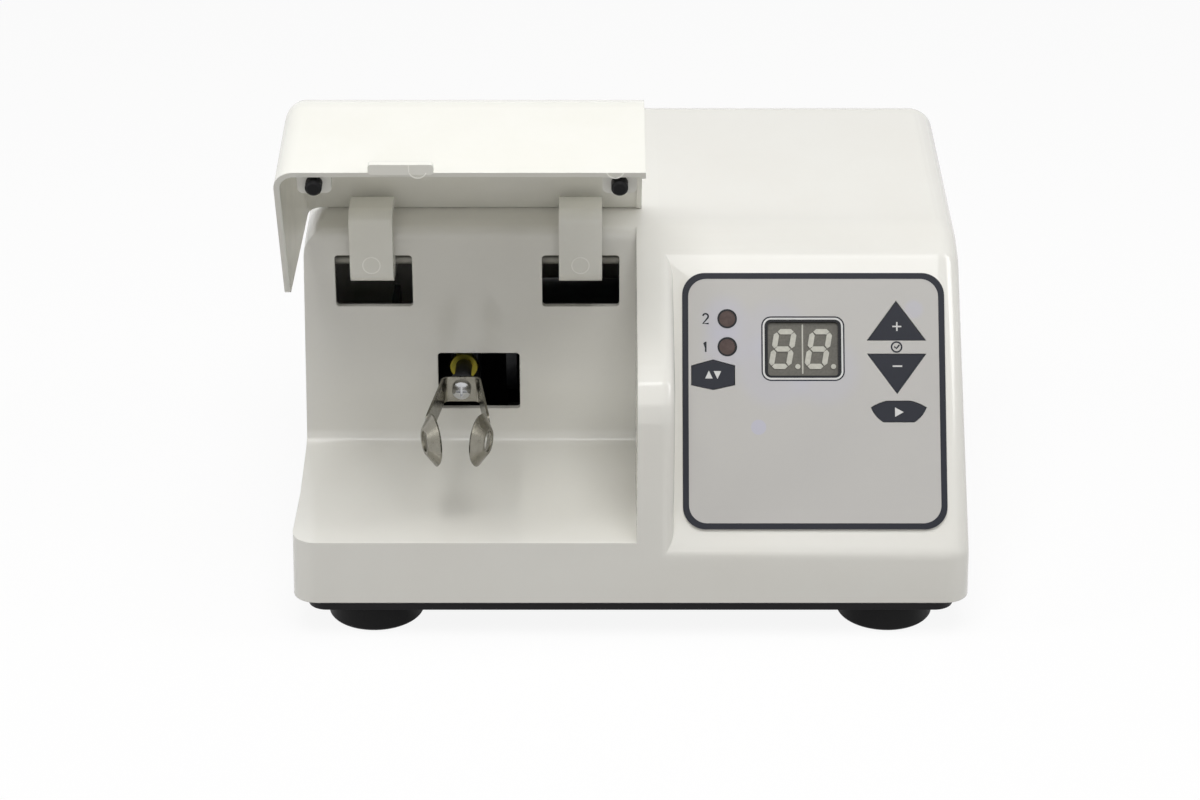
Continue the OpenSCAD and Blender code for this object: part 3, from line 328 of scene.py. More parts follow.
# Tinted window over an indicator lamp: brown-grey and smooth.
LAMP_WINDOW = Finish(
    "indicator_window_smoked", "#54433F", 0.22, ior=1.4, second_colour="#41332F",
    mottle_mm=2.5, edge_mm=0.3,
)
# Spring steel strip, rolled and barrel polished: warm grey, brushed along the strip.
SPRING_STEEL = Finish(
    "fork_spring_steel", "#8F8C82", 0.24, metallic=1.0, second_colour="#7C796F",
    mottle_mm=3, rough_swing=0.07, grain_mm=0.5, grain_height_mm=0.004,
    grain_stretch=(1.0, 0.12, 1.0), edge_mm=0.2,
)
# Zinc plated steel screws and turned steel: bright, with fine turning marks.
ZINC_STEEL = Finish(
    "screw_zinc_plated", "#C6C7C8", 0.2, metallic=1.0, second_colour="#B4B5B7",
    mottle_mm=1.5, rough_swing=0.06, grain_mm=0.4, grain_height_mm=0.004, edge_mm=0.12,
)
# Drawn steel rod with a grey plating, seen through the hinge windows: dull and pale.
DULL_STEEL = Finish(
    "hinge_rod_grey_plated", "#9C9A92", 0.55, metallic=0.6, second_colour="#8E8C84",
    mottle_mm=5, rough_swing=0.06,
)
# Yellow passivated zinc on the arm's nut: gold with an iridescent drift.
YELLOW_ZINC = Finish(
    "nut_yellow_zinc", "#917F2A", 0.32, metallic=1.0, second_colour="#767634",
    mottle_mm=2, rough_swing=0.08,
)
# Phosphated and painted steel inside the casing: dark and dull.
DARK_STEEL = Finish(
    "drive_steel_dark", "#2A2B2E", 0.5, metallic=0.4, second_colour="#202124",
    mottle_mm=6, rough_swing=0.08, grain_mm=0.8, grain_height_mm=0.01, edge_mm=0.2,
)
# Glass-epoxy board under green solder mask.
BOARD = Finish(
    "board_solder_mask_green", "#1C5137", 0.35, ior=1.5, second_colour="#17452F",
    mottle_mm=2, grain_mm=0.8, grain_height_mm=0.01,
)


def smooth_by_angle(degrees: float) -> bpy.types.NodeTree:
    """Makes the modifier's node group that welds a mesh and shades it smooth below an angle.

    Args:
        degrees: the angle between faces over which an edge stays sharp.

    Returns:
        The node group.
    """
    name = f"smooth_below_{degrees:g}"
    found = bpy.data.node_groups.get(name)
    if found:
        return found
    tree = bpy.data.node_groups.new(name, "GeometryNodeTree")
    tree.interface.new_socket("Geometry", in_out="INPUT", socket_type="NodeSocketGeometry")
    tree.interface.new_socket("Geometry", in_out="OUTPUT", socket_type="NodeSocketGeometry")
    start = add_node(tree, "NodeGroupInput")
    near = {"Geometry": start.outputs[0], "Distance": WELD_M}
    weld = add_node(tree, "GeometryNodeMergeByDistance", near)
    angle = add_node(tree, "GeometryNodeInputMeshEdgeAngle")
    ends = {0: angle.outputs[0], 1: math.radians(degrees)}
    gentle = add_node(tree, "FunctionNodeCompare", ends, data_type="FLOAT", operation="LESS_EQUAL")
    every_face = {"Geometry": weld.outputs[0], "Shade Smooth": True}
    faces = add_node(tree, "GeometryNodeSetShadeSmooth", every_face, domain="FACE")
    gentle_edges = {"Geometry": faces.outputs[0], "Shade Smooth": gentle.outputs[0]}
    edges = add_node(tree, "GeometryNodeSetShadeSmooth", gentle_edges, domain="EDGE")
    add_node(tree, "NodeGroupOutput", {0: edges.outputs[0]})
    return tree


def smooth(piece: bpy.types.Object, degrees: float) -> None:
    """Adds the smoothing modifier to a piece or node."""
    piece.modifiers.new("smooth", "NODES").node_group = smooth_by_angle(degrees)


def dress_node(name: str, finish: Finish) -> None:
    """Gives a CAD node its finish and smooth shading.

    Args:
        name: the node.
        finish: its finish.
    """
    node = frame["nodes"][name]
    node.data.materials.clear()
    node.data.materials.append(finish.build())
    if node.data.attributes.get("custom_normal"):
        node.data.attributes.remove(node.data.attributes["custom_normal"])
    smooth(node, NODE_SHARP)


def joint(name: str) -> dict:
    """A joint's row in the record."""
    return next(row for row in frame["record"]["behaviour"]["joints"] if row["name"] == name)


def joint_at(name: str) -> Vector:
    """Where a joint's axis runs, in metres."""
    return Vector(joint(name)["pos_m"])


def mesh_piece(
    name: str, mesh: bmesh.types.BMesh, finish: Finish, body: str
) -> bpy.types.Object:
    """Turns a bmesh in metres into a piece that rides on a body.

    Args:
        name: the piece's name.
        mesh: its mesh, which is freed.
        finish: its finish.
        body: the body that it rides on.

    Returns:
        The new object.
    """
    data = bpy.data.meshes.new(name)
    bmesh.ops.recalc_face_normals(mesh, faces=mesh.faces)
    mesh.to_mesh(data)
    mesh.free()
    piece = bpy.data.objects.new(name, data)
    bpy.context.scene.collection.objects.link(piece)
    data.materials.append(finish.build())
    smooth(piece, PIECE_SHARP)
    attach(piece, body)
    LOG.info("%s: %d faces on %s", name, len(data.polygons), body)
    return piece


def arc(cx: float, cy: float, radius: float, start: float, end: float, steps: int) -> Outline:
    """Points along an arc about (cx, cy), from start to end in degrees."""
    turns = [math.radians(start + (end - start) * i / steps) for i in range(steps + 1)]
    return [(cx + radius * math.cos(turn), cy + radius * math.sin(turn)) for turn in turns]


def circle(cx: float, cy: float, radius: float, sides: int) -> Outline:
    """Points round a circle, without the first one again at the end."""
    return arc(cx, cy, radius, 0, 360, sides)[:-1]


def rounded_box(
    cx: float, cy: float, width: float, height: float, radius: float, steps: int = 10
) -> Outline:
    """Outline of a rectangle with round corners.

    Args:
        cx: its middle, across.
        cy: its middle, up.
        width: its width.
        height: its height.
        radius: the radius of its corners.
        steps: the steps along each corner.

    Returns:
        The outline.
    """
    x, y = width / 2 - radius, height / 2 - radius
    corners = [(x, y, 0), (-x, y, 90), (-x, -y, 180), (x, -y, 270)]
    return [p for dx, dy, a in corners for p in arc(cx + dx, cy + dy, radius, a, a + 90, steps)]


def skin(rings: list[Ring], place: Matrix, closed: bool = False) -> bmesh.types.BMesh:
    """Joins rings of points, each with as many, into one closed mesh.

    Args:
        rings: the rings in order, in millimetres.
        place: from the rings' own frame to the row frame, in metres.
        closed: True joins the last ring to the first, and False closes both ends with a face.

    Returns:
        The mesh.
    """
    mesh = bmesh.new()
    loops = [[mesh.verts.new(place @ (Vector(p) * MM)) for p in ring] for ring in rings]
    following = loops[1:] + loops[:1] if closed else loops[1:]
    for first, second in zip(loops, following):
        for i in range(len(first)):
            j = (i + 1) % len(first)
            mesh.faces.new((first[i], first[j], second[j], second[i]))
    if not closed:
        mesh.faces.new(loops[0][::-1])
        mesh.faces.new(loops[-1])
    return mesh


def raised(outline: Outline, z: float) -> Ring:
    """An outline at a height."""
    return [(x, y, z) for x, y in outline]


def plate(
    outline: Outline, low: float, high: float, place: Matrix, hole: Outline | None = None
) -> bmesh.types.BMesh:
    """Makes a thin plate from an outline, with one hole if its outline has as many points.

    Args:
        outline: the outer outline, in millimetres.
        low: height of its underside.
        high: height of its top.
        place: from the plate's own frame to the row frame, in metres.
        hole: the hole's outline, with as many points as the outer one.

    Returns:
        The plate's mesh.
    """
    rings = [raised(outline, low), raised(outline, high)]
    if hole:
        rings += [raised(hole, high), raised(hole, low)]
    return skin(rings, place, closed=bool(hole))


def washer(
    cx: float, cy: float, diameters: tuple[float, float], low: float, high: float, place: Matrix
) -> bmesh.types.BMesh:
    """Makes a flat ring.

    Args:
        cx: its middle, across.
        cy: its middle, up.
        diameters: the outer and the inner one, in millimetres.
        low: height of its underside.
        high: height of its top.
        place: from its own frame to the row frame, in metres.

    Returns:
        The ring's mesh.
    """
    outer, inner = (circle(cx, cy, diameter / 2, ROUND_SIDES) for diameter in diameters)
    return plate(outer, low, high, place, inner)


def joined(meshes: list[bmesh.types.BMesh]) -> bmesh.types.BMesh:
    """Puts several meshes into the first one and frees the rest.

    Args:
        meshes: the meshes.

    Returns:
        The first one.
    """
    whole = meshes[0]
    for other in meshes[1:]:
        scratch = bpy.data.meshes.new("scratch")
        other.to_mesh(scratch)
        other.free()
        whole.from_mesh(scratch)
        bpy.data.meshes.remove(scratch)
    return whole


def stroke(
    points: Outline, width: float, low: float, high: float, place: Matrix, closed: bool = False
) -> bmesh.types.BMesh:
    """Makes a flat line of even width along points, with square ends.

    Args:
        points: the line's middle, in millimetres.
        width: its width.
        low: height of its underside.
        high: height of its top.
        place: from its own frame to the row frame, in metres.
        closed: True joins its ends.

    Returns:
        The line's mesh.
    """
    count = len(points)
    left, right = [], []
    for i, (x, y) in enumerate(points):
        before = points[(i - 1) % count] if closed or i else (x, y)
        after = points[(i + 1) % count] if closed or i < count - 1 else (x, y)
        dx, dy = after[0] - before[0], after[1] - before[1]
        length = math.hypot(dx, dy) or 1.0
        nx, ny = -dy / length * width / 2, dx / length * width / 2
        left.append((x + nx, y + ny))
        right.append((x - nx, y - ny))
    if closed:
        return plate(right, low, high, place, hole=left)
    return plate(left + right[::-1], low, high, place)


def printed_on(mesh: bmesh.types.BMesh, name: str, plane: Matrix) -> bmesh.types.BMesh:
    """Presses a flat mark onto a curved CAD node, along the mark's own depth.

    Args:
        mesh: the mark, drawn flat before the node.
        name: the node.
        plane: the mark's own frame, whose Z points away from the node.

    Returns:
        The same mesh.
    """
    surface = BVHTree.FromObject(frame["nodes"][name], bpy.context.evaluated_depsgraph_get())
    away = plane.to_3x3() @ Vector((0, 0, 1))
    for point in mesh.verts:
        height = (point.co - plane.translation).dot(away)
        hit = surface.ray_cast(point.co, -away)[0]
        if hit:
            point.co = hit + away * height
    return mesh


class SubAssembly:
    """A group of parts that are made and finished together."""

    title: ClassVar[str]
    finishes: ClassVar[dict[str, Finish]]

    def build(self) -> None:
        """Makes the group's own pieces, where it has any."""

    def dress(self) -> None:
        """Gives each CAD node of the group its finish."""
        for name, finish in self.finishes.items():
            dress_node(name, finish)
        LOG.info("%s: %d nodes dressed", self.title, len(self.finishes))


@dataclass
class Casing(SubAssembly):
    """The white casing on its black tray and rubber feet."""

    title: ClassVar[str] = "casing"
    finishes: ClassVar[dict[str, Finish]] = {
        "casing": CASING_ABS,
        "base_tray": BLACK_ABS,
        "casing_screws": ZINC_STEEL,
        "foot_screws": ZINC_STEEL,
        "foot_front_left": BLACK_RUBBER,
        "foot_front_right": BLACK_RUBBER,
        "foot_rear_left": BLACK_RUBBER,
        "foot_rear_right": BLACK_RUBBER,
    }


@dataclass
class Lid(SubAssembly):
    """The open lid: shell, arms, buffers and hinge, with the marks that moulding leaves."""

    title: ClassVar[str] = "lid"
    finishes: ClassVar[dict[str, Finish]] = {
        # The lid's finish is painted lighter than the casing's, as painted light on the open lid's top.
        "lid_shell": LID_ABS_PAINTED_LIGHTER,
        "lid_arm_left": LID_ABS_PAINTED_LIGHTER,
        "lid_arm_right": LID_ABS_PAINTED_LIGHTER,
        "hinge_bracket_left": BLACK_ABS,
        "hinge_bracket_right": BLACK_ABS,
        "hinge_rod": DULL_STEEL,
        "rod_clips": ZINC_STEEL,
        "lid_buffer_left": BLACK_RUBBER,
        "lid_buffer_right": BLACK_RUBBER,
        "lid_magnet": ZINC_STEEL,
        "lid_sensor": BLACK_ABS,
    }
    mark_h: float = 0.14
    # Round marks of the ejector pins on the fronts of the arms, above the hinge's height
    ejector_d: tuple[float, float] = (6.6, 5.8)
    ejector_rise: float = 3.6
    # Marks where the plastic ran in, on the underside of the closed lid's rim: its height
    # over the ground, and the distance from the chamber's front to the hinge
    rim_z: float = 39.0
    hinge_back: float = 76.0
    # Across from the left buffer, and back from the chamber's front
    gate_x: tuple[float, float] = (34.6, 99.5)
    gate_y: float = -3.9
    gate_r: float = 2.9
    gate_arc: tuple[float, float] = (20.0, 160.0)
    gate_steps: int = 16
    seam_x: float = 31.7
    seam_y: tuple[float, float] = (-5.7, -3.2)
    line_w: float = 0.35
    sunk: float = 0.05

    def build(self) -> None:
        """Makes the ejector marks and the gate marks."""
        for side in ("left", "right"):
            self.ejector_mark(side)
        self.gate_marks()

    def ejector_mark(self, side: str) -> None:
        """A fine raised ring on one arm's front.

        Args:
            side: left or right.
        """
        low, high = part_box(f"lid_arm_{side}")
        middle = Vector(((low.x + high.x) / 2, low.y, joint_at("lid_hinge").z + self.ejector_rise * MM))
        place = Matrix.Translation(middle) @ Matrix.Rotation(math.radians(90), 4, "X")
        mesh = washer(0, 0, self.ejector_d, -self.mark_h, self.mark_h, place)
        mesh_piece(f"ejector_mark_{side}", mesh, WITNESS_ABS, "lid")

    def gate_marks(self) -> None:
        """Fine arcs on the rim's underside and a seam on the lip."""
        hinge = joint_at("lid_hinge")
        opening = math.radians(joint("lid_hinge")["range_deg"][1])
        low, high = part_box("lid_buffer_left")
        start = Vector(((low.x + high.x) / 2, hinge.y - self.hinge_back * MM, self.rim_z * MM))
        opened = Matrix.Translation(hinge) @ Matrix.Rotation(-opening, 4, "X") @ Matrix.Translation(-hinge)
        place = opened @ Matrix.Translation(start)
        lines = [arc(x, self.gate_y, self.gate_r, *self.gate_arc, self.gate_steps) for x in self.gate_x]
        lines.append([(self.seam_x, y) for y in self.seam_y])
        meshes = [stroke(line, self.line_w, -self.mark_h, self.sunk, place) for line in lines]
        mesh_piece("gate_marks", joined(meshes), WITNESS_ABS, "lid")


@dataclass
class CapsuleFork(SubAssembly):
    """The spring fork that holds a capsule: a bent strip with a round cup on each arm."""

    title: ClassVar[str] = "capsule fork"
    finishes: ClassVar[dict[str, Finish]] = {
        "fork_clip": SPRING_STEEL,
        "fork_screw": ZINC_STEEL,
        "fork_collar": DARK_STEEL,
        "stud_nut": YELLOW_ZINC,
        "arm_stud": DARK_STEEL,
    }
    # The strip: its base plate, its own width, its neck, and its arms
    thickness: float = 0.8
    base_w: float = 13.0
    strip_w: float = 9.7
    neck_w: float = 7.4
    shoulder: float = 1.6
    shoulder_steps: int = 4
    bend_r: float = 2.0
    bend_steps: int = 9
    splay: float = 7.5
    arm_l: float = 34.0
    lap: float = 2.0
    # The cups: a cone down to a flat ring round the hole, turned in from the arm
    cup_d: float = 19.0
    cup_depth: float = 3.2
    cup_hole_d: float = 7.5
    cup_ring: float = 1.2
    cup_turn: float = 19.0
    cup_out: float = 0.35
    cup_sides: int = 64
    # The nut behind the fork
    nut_flats: float = 10.0
    nut_l: float = 4.0
    nut_chamfer: float = 0.5
    nut_bore_d: float = 6.2
    nut_side_steps: int = 6

    def build(self) -> None:
        """Makes the fork and the nut, which stand for their plainer CAD nodes."""
        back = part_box("fork_clip")[1].y
        axis = joint_at("arm_swing")
        place = Matrix.Translation((axis.x, back - self.thickness / 2 * MM, axis.z))
        mesh = joined([self.strip(place)] + [self.cup(side, place) for side in (-1, 1)])
        fork = mesh_piece("capsule_fork", mesh, SPRING_STEEL, "arm")
        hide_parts("fork_clip")
        self.nut()

    def strip_middle(self) -> list[tuple[float, float, float, float]]:
        """Finds the stations along the strip's right half.

        Returns:
            For each station x, y, the angle of the strip's outer normal, and its half width.
        """
        radius = self.bend_r + self.thickness / 2
        turn = 90 - self.splay
        bend_x = self.base_w / 2 - radius * math.tan(math.radians(turn / 2))
        wide, narrow = self.strip_w / 2, self.neck_w / 2
        stations = [(0.0, 0.0, 90.0, wide)]
        for x, y in arc(bend_x, -radius, radius, 90, self.splay, self.bend_steps):
            angle = math.degrees(math.atan2(y + radius, x - bend_x))
            stations.append((x, y, angle, wide))
        lean = math.radians(self.splay)
        for step in range(self.shoulder_steps + 1):
            share = step / self.shoulder_steps
            along = (share - 1) * self.shoulder
            half = narrow + (wide - narrow) * (1 + math.cos(math.pi * share)) / 2
            x, y = self.end_x() + along * math.sin(lean), -self.arm_l - along * math.cos(lean)
            stations.append((x, y, self.splay, half))
        x, y = self.end_x() + self.lap * math.sin(lean), -self.arm_l - self.lap * math.cos(lean)
        stations.append((x, y, self.splay, narrow))
        return stations

    def end_x(self) -> float:
        """How far out an arm's end is."""
        return self.base_w / 2 + self.arm_l * math.tan(math.radians(self.splay))

    def strip(self, place: Matrix) -> bmesh.types.BMesh:
        """The bent strip, from the left tip to the right one.

        Args:
            place: the middle of the base plate.

        Returns:
            Its mesh.
        """
        right = self.strip_middle()
        left = [(-x, y, 180 - angle, half) for x, y, angle, half in right[:0:-1]]
        rings = []
        for x, y, angle, half in left + right:
            dx = math.cos(math.radians(angle)) * self.thickness / 2
            dy = math.sin(math.radians(angle)) * self.thickness / 2
            outer, inner = (x + dx, y + dy), (x - dx, y - dy)
            rings.append([(*outer, half), (*outer, -half), (*inner, -half), (*inner, half)])
        return skin(rings, place)

    def cup(self, side: int, place: Matrix) -> bmesh.types.BMesh:
        """One conical cup with its hole, at the end of an arm.

        Args:
            side: -1 for the left one and 1 for the right one.
            place: the middle of the base plate.

        Returns:
            Its mesh.
        """
        ring_r = self.cup_hole_d / 2 + self.cup_ring
        cone = math.atan(self.cup_depth / (self.cup_d / 2 - ring_r))
        t = self.thickness
        profile = [
            (self.cup_d / 2, 0.0),
            (ring_r, self.cup_depth),
            (self.cup_hole_d / 2, self.cup_depth),
            (self.cup_hole_d / 2, self.cup_depth - t),
            (ring_r - t * math.tan(cone / 2), self.cup_depth - t),
            (self.cup_d / 2 - t * math.sin(cone), -t * math.cos(cone)),
        ]
        turn = math.radians(self.cup_turn)
        x = side * (self.end_x() + self.cup_out - self.cup_d / 2 * math.sin(turn))
        y = -self.arm_l - self.cup_d / 2 * math.cos(turn)
        turned = Matrix.Rotation(-side * turn, 4, "Z") @ Matrix.Rotation(side * math.pi / 2, 4, "Y")
        at = place @ Matrix.Translation((x * MM, y * MM, 0)) @ turned
        return skin([raised(circle(0, 0, r, self.cup_sides), z) for r, z in profile], at, closed=True)

    def nut(self) -> None:
        """The hexagonal nut that locks the arm's rod, with chamfered corners."""
        low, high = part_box("stud_nut")
        place = Matrix.Translation((low + high) / 2) @ Matrix.Rotation(math.radians(-90), 4, "X")
        hexagon = []
        corners = circle(0, 0, self.nut_flats / math.sqrt(3), 6)
        for first, second in zip(corners, corners[1:] + corners[:1]):
            for i in range(self.nut_side_steps):
                share = i / self.nut_side_steps
                hexagon.append(tuple(a + (b - a) * share for a, b in zip(first, second)))
        chamfered = []
        for x, y in hexagon:
            shrink = min(1.0, self.nut_flats / 2 / math.hypot(x, y))
            chamfered.append((x * shrink, y * shrink))
        bore = circle(0, 0, self.nut_bore_d / 2, len(hexagon))
        half, edge = self.nut_l / 2, self.nut_l / 2 - self.nut_chamfer
        rings = [raised(chamfered, -half), raised(hexagon, -edge), raised(hexagon, edge)]
        rings += [raised(chamfered, half), raised(bore, half), raised(bore, -half)]
        nut = mesh_piece("arm_lock_nut", skin(rings, place, closed=True), YELLOW_ZINC, "arm")
        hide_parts("stud_nut")


@dataclass
class SwingDrive(SubAssembly):
    """The motor, its skewed sleeve and the swinging hub, on a sprung frame behind the chamber."""

    title: ClassVar[str] = "swing drive"
    finishes: ClassVar[dict[str, Finish]] = {
        "swing_hub": DARK_STEEL,
        "hub_bearing": ZINC_STEEL,
        "oblique_sleeve": ZINC_STEEL,
        "motor_shaft": ZINC_STEEL,
        "balance_disc": DARK_STEEL,
        "support_bearing": ZINC_STEEL,
        "motor_can": DARK_STEEL,
        "motor_end_bell": BLACK_ABS,
        "motor_screws": ZINC_STEEL,
        "drive_frame": DARK_STEEL,
        "frame_isolators": BLACK_RUBBER,
        "centring_spring_upper": SPRING_STEEL,
        "centring_spring_lower": SPRING_STEEL,
    }


class Sign(Enum):
    """The generic signs on the panel."""

    PLUS = "plus"
    MINUS = "minus"
    CLOCK = "clock"
    PLAY = "play"
    SWAP = "swap"
    ONE = "one"
    TWO = "two"


@dataclass
class KeyPanel(SubAssembly):
    """The inclined panel: printed film, display, windows and signs.

    Places are counted from the film's middle, across and up the slope.
    """

    title: ClassVar[str] = "key panel"
    finishes: ClassVar[dict[str, Finish]] = {
        "key_mode": SLATE_INK,
        "key_up": SLATE_INK,
        "key_down": SLATE_INK,
        "key_start": SLATE_INK,
        "display_module": DISPLAY_EPOXY,
        "display_digits": SEGMENT_EPOXY,
        "indicator_lamps": LAMP_WINDOW,
    }
    # Faint lilac prints: round the two windows, behind the display, over two hidden lamps
    prints: ClassVar[tuple[Spot, ...]] = (
        Spot(-31.5, 29.4, 7.5, 3.5, 0.3),
        Spot(-31.5, 19.3, 7.5, 3.5, 0.3),
        Spot(-13.7, 11.275, 13.0, 3.5, 0.22),
        Spot(-13.7, 24.425, 11.0, 3.5, 0.2),
        Spot(3.6, 10.775, 12.0, 3.5, 0.2),
        Spot(-19.8, -9.6, 2.7, 0.3, 0.55),
        Spot(35.8, 32.8, 3.2, 1.0, 0.3),
    )
    # The film, and the ink's thickness on it
    slope: float = 56.8
    film_t: float = 0.8
    film_r: float = 8.0
    ink: float = 0.04
    # The frame line along the film's edge
    frame_w: float = 2.2
    frame_off: float = 0.05
    frame_r: float = 6.4
    # The display's printed border, and the glass inside it
    display: tuple[float, float] = (-3.8, 18.6)
    display_size: tuple[float, float] = (29.6, 23.3)
    display_r: float = 3.5
    pale_inset: float = 0.5
    pale_rise: float = 0.06
    black_inset: float = 1.15
    glass_size: tuple[float, float] = (25.0, 19.4)
    glass_r: float = 1.2
    # The line between the digits, which stops short of the glass's ends
    divider_x: float = -3.9
    divider_w: float = 0.5
    divider_r: float = 0.2
    divider_short: float = 0.8
    divider_z: tuple[float, float] = (-1.11, -0.9)
    # The windows, and the outer and inner diameters of their rims
    lamp_x: float = -30.7
    lamp_y: tuple[float, float] = (29.4, 19.3)
    lamp_rim: tuple[float, float] = (7.0, 5.7)
    # The signs, and their lines' width as a share of their height
    adjust_x: float = 29.7
    plus_y: float = 26.6
    minus_y: float = 12.3
    clock: tuple[float, float] = (29.5, 19.2)
    start: tuple[float, float] = (30.0, -4.2)
    mode: tuple[float, float] = (-35.8, 9.2)
    numeral_x: float = -38.4
    sign_line: float = 0.16
    # Found from the film's box
    place: Matrix = field(init=False)
    film_w: float = field(init=False)
    film_h: float = field(init=False)

    def __post_init__(self) -> None:
        """Finds the film's middle, on its face, from its box."""
        low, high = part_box("panel_overlay")
        tilt = math.radians(self.slope)
        lift = Matrix.Translation((0, 0, self.film_t / 2 * MM))
        self.place = Matrix.Translation((low + high) / 2) @ Matrix.Rotation(tilt, 4, "X") @ lift
        self.film_w = (high.x - low.x) / MM
        self.film_h = (high.y - low.y) / MM / math.cos(tilt) - self.film_t * math.tan(tilt)

    def dress(self) -> None:
        """Finishes the nodes, and the film with its faint prints."""
        super().dress()
        film = replace(OVERLAY_FILM, spots=self.prints, to_panel=self.place.inverted())
        dress_node("panel_overlay", film)

    def build(self) -> None:
        """Makes every printed and fitted piece of the panel."""
        self.border()
        self.display_border()
        self.lamp_rims()
        self.divider()
        self.signs()

    def border(self) -> None:
        """The dark frame line along the film's edge."""
        w, h, off, line = self.film_w, self.film_h, self.frame_off, self.frame_w
        outer = rounded_box(0, 0, w - 2 * off, h - 2 * off, self.film_r)
        inner = rounded_box(0, 0, w - 2 * line, h - 2 * line, self.frame_r)
        mesh = plate(outer, 0, self.ink, self.place, inner)
        mesh_piece("overlay_frame_line", mesh, SLATE_INK, "root")

    def display_border(self) -> None:
        """The slate outline, pale line and black border round the display."""
        w, h = self.display_size
        bands = [
            ("display_outline", 0.0, 0.0, SLATE_INK),
            ("display_pale_line", self.pale_inset, self.pale_rise, PALE_INK),
            ("display_border", self.black_inset, 0.0, BLACK_INK),
        ]
        sizes = [(w - 2 * inset, h - 2 * inset, self.display_r - inset) for _, inset, _, _ in bands]
        sizes.append((*self.glass_size, self.glass_r))
        for (name, _, rise, finish), outside, inside in zip(bands, sizes, sizes[1:]):
            outer = rounded_box(*self.display, *outside)
            inner = rounded_box(*self.display, *inside)
            mesh = plate(outer, -self.film_t, rise, self.place, inner)
            mesh_piece(name, mesh, finish, "root")

    def lamp_rims(self) -> None:
        """The printed ring round each window."""
        for side, y in zip(("fast", "slow"), self.lamp_y):
            mesh = washer(self.lamp_x, y, self.lamp_rim, 0.0, self.ink, self.place)
            mesh_piece(f"lamp_rim_{side}", mesh, BLACK_INK, "root")

    def divider(self) -> None:
        """The line between the display's digits, down in its face."""
        length = self.glass_size[1] - 2 * self.divider_short
        bar = rounded_box(self.divider_x, self.display[1], self.divider_w, length, self.divider_r, 3)
        mesh = plate(bar, *self.divider_z, self.place)
        mesh_piece("display_divider", mesh, SEGMENT_EPOXY, "root")

    def sign(self, kind: Sign, x: float, y: float, size: float) -> bmesh.types.BMesh:
        """One flat sign.

        Args:
            kind: which sign.
            x: its middle, across.
            y: its middle, up the slope.
            size: its height.

        Returns:
            The sign's mesh.
        """
        half = size / 2

        def at(points: Outline) -> Outline:
            """Points given in halves of the sign's height, about its middle."""
            return [(x + px * half, y + py * half) for px, py in points]

        def line(points: Outline, closed: bool = False) -> bmesh.types.BMesh:
            """A line of the sign."""
            return stroke(at(points), size * self.sign_line, 0.0, self.ink, self.place, closed)

        def patch(points: Outline) -> bmesh.types.BMesh:
            """A filled part of the sign."""
            return plate(at(points), 0.0, self.ink, self.place)

        if kind is Sign.PLUS:
            return joined([line([(-1, 0), (1, 0)]), line([(0, -1), (0, 1)])])
        if kind is Sign.MINUS:
            return line([(-1, 0), (1, 0)])
        if kind is Sign.CLOCK:
            hands = line([(-0.45, 0.1), (-0.05, -0.3), (0.55, 0.4)])
            return joined([line(circle(0, 0, 1, 24), closed=True), hands])
        if kind is Sign.PLAY:
            return patch([(-0.8, -1), (1, 0), (-0.8, 1)])
        if kind is Sign.SWAP:
            up = patch([(-1.5, -0.7), (-0.1, -0.7), (-0.8, 0.8)])
            return joined([up, patch([(0.1, 0.7), (0.8, -0.8), (1.5, 0.7)])])
        if kind is Sign.ONE:
            return line([(-0.35, 0.55), (0, 0.95), (0, -1)])
        return line(arc(0, 0.45, 0.5, 170, -40, 10) + [(-0.5, -0.92), (0.6, -0.92)])

    def signs(self) -> None:
        """The signs on the keys, which ride with them, and those on the film."""
        on_keys = [
            ("sign_plus", Sign.PLUS, self.adjust_x, self.plus_y, 3.2, "up_key"),
            ("sign_minus", Sign.MINUS, self.adjust_x, self.minus_y, 3.4, "down_key"),
            ("sign_play", Sign.PLAY, *self.start, 3.4, "start_key"),
            ("sign_swap", Sign.SWAP, *self.mode, 3.8, "mode_key"),
        ]
        for name, kind, x, y, size, body in on_keys:
            mesh_piece(name, self.sign(kind, x, y, size), PALE_INK, body)
        on_film = [
            ("sign_clock", Sign.CLOCK, *self.clock, 3.6),
            ("numeral_fast", Sign.TWO, self.numeral_x, self.lamp_y[0], 3.8),
            ("numeral_slow", Sign.ONE, self.numeral_x, self.lamp_y[1], 3.8),
        ]
        for name, kind, x, y, size in on_film:
            mesh_piece(name, self.sign(kind, x, y, size), SLATE_INK, "root")


@dataclass
class Electronics(SubAssembly):
    """The boards, switches and supply inside the casing."""

    title: ClassVar[str] = "electronics"
    finishes: ClassVar[dict[str, Finish]] = {
        "control_board": BOARD,
        "key_switches": BLACK_ABS,
        "board_spacers": ZINC_STEEL,
        "power_board": BOARD,
        "power_parts": BLACK_ABS,
        "transformer": DARK_STEEL,
    }


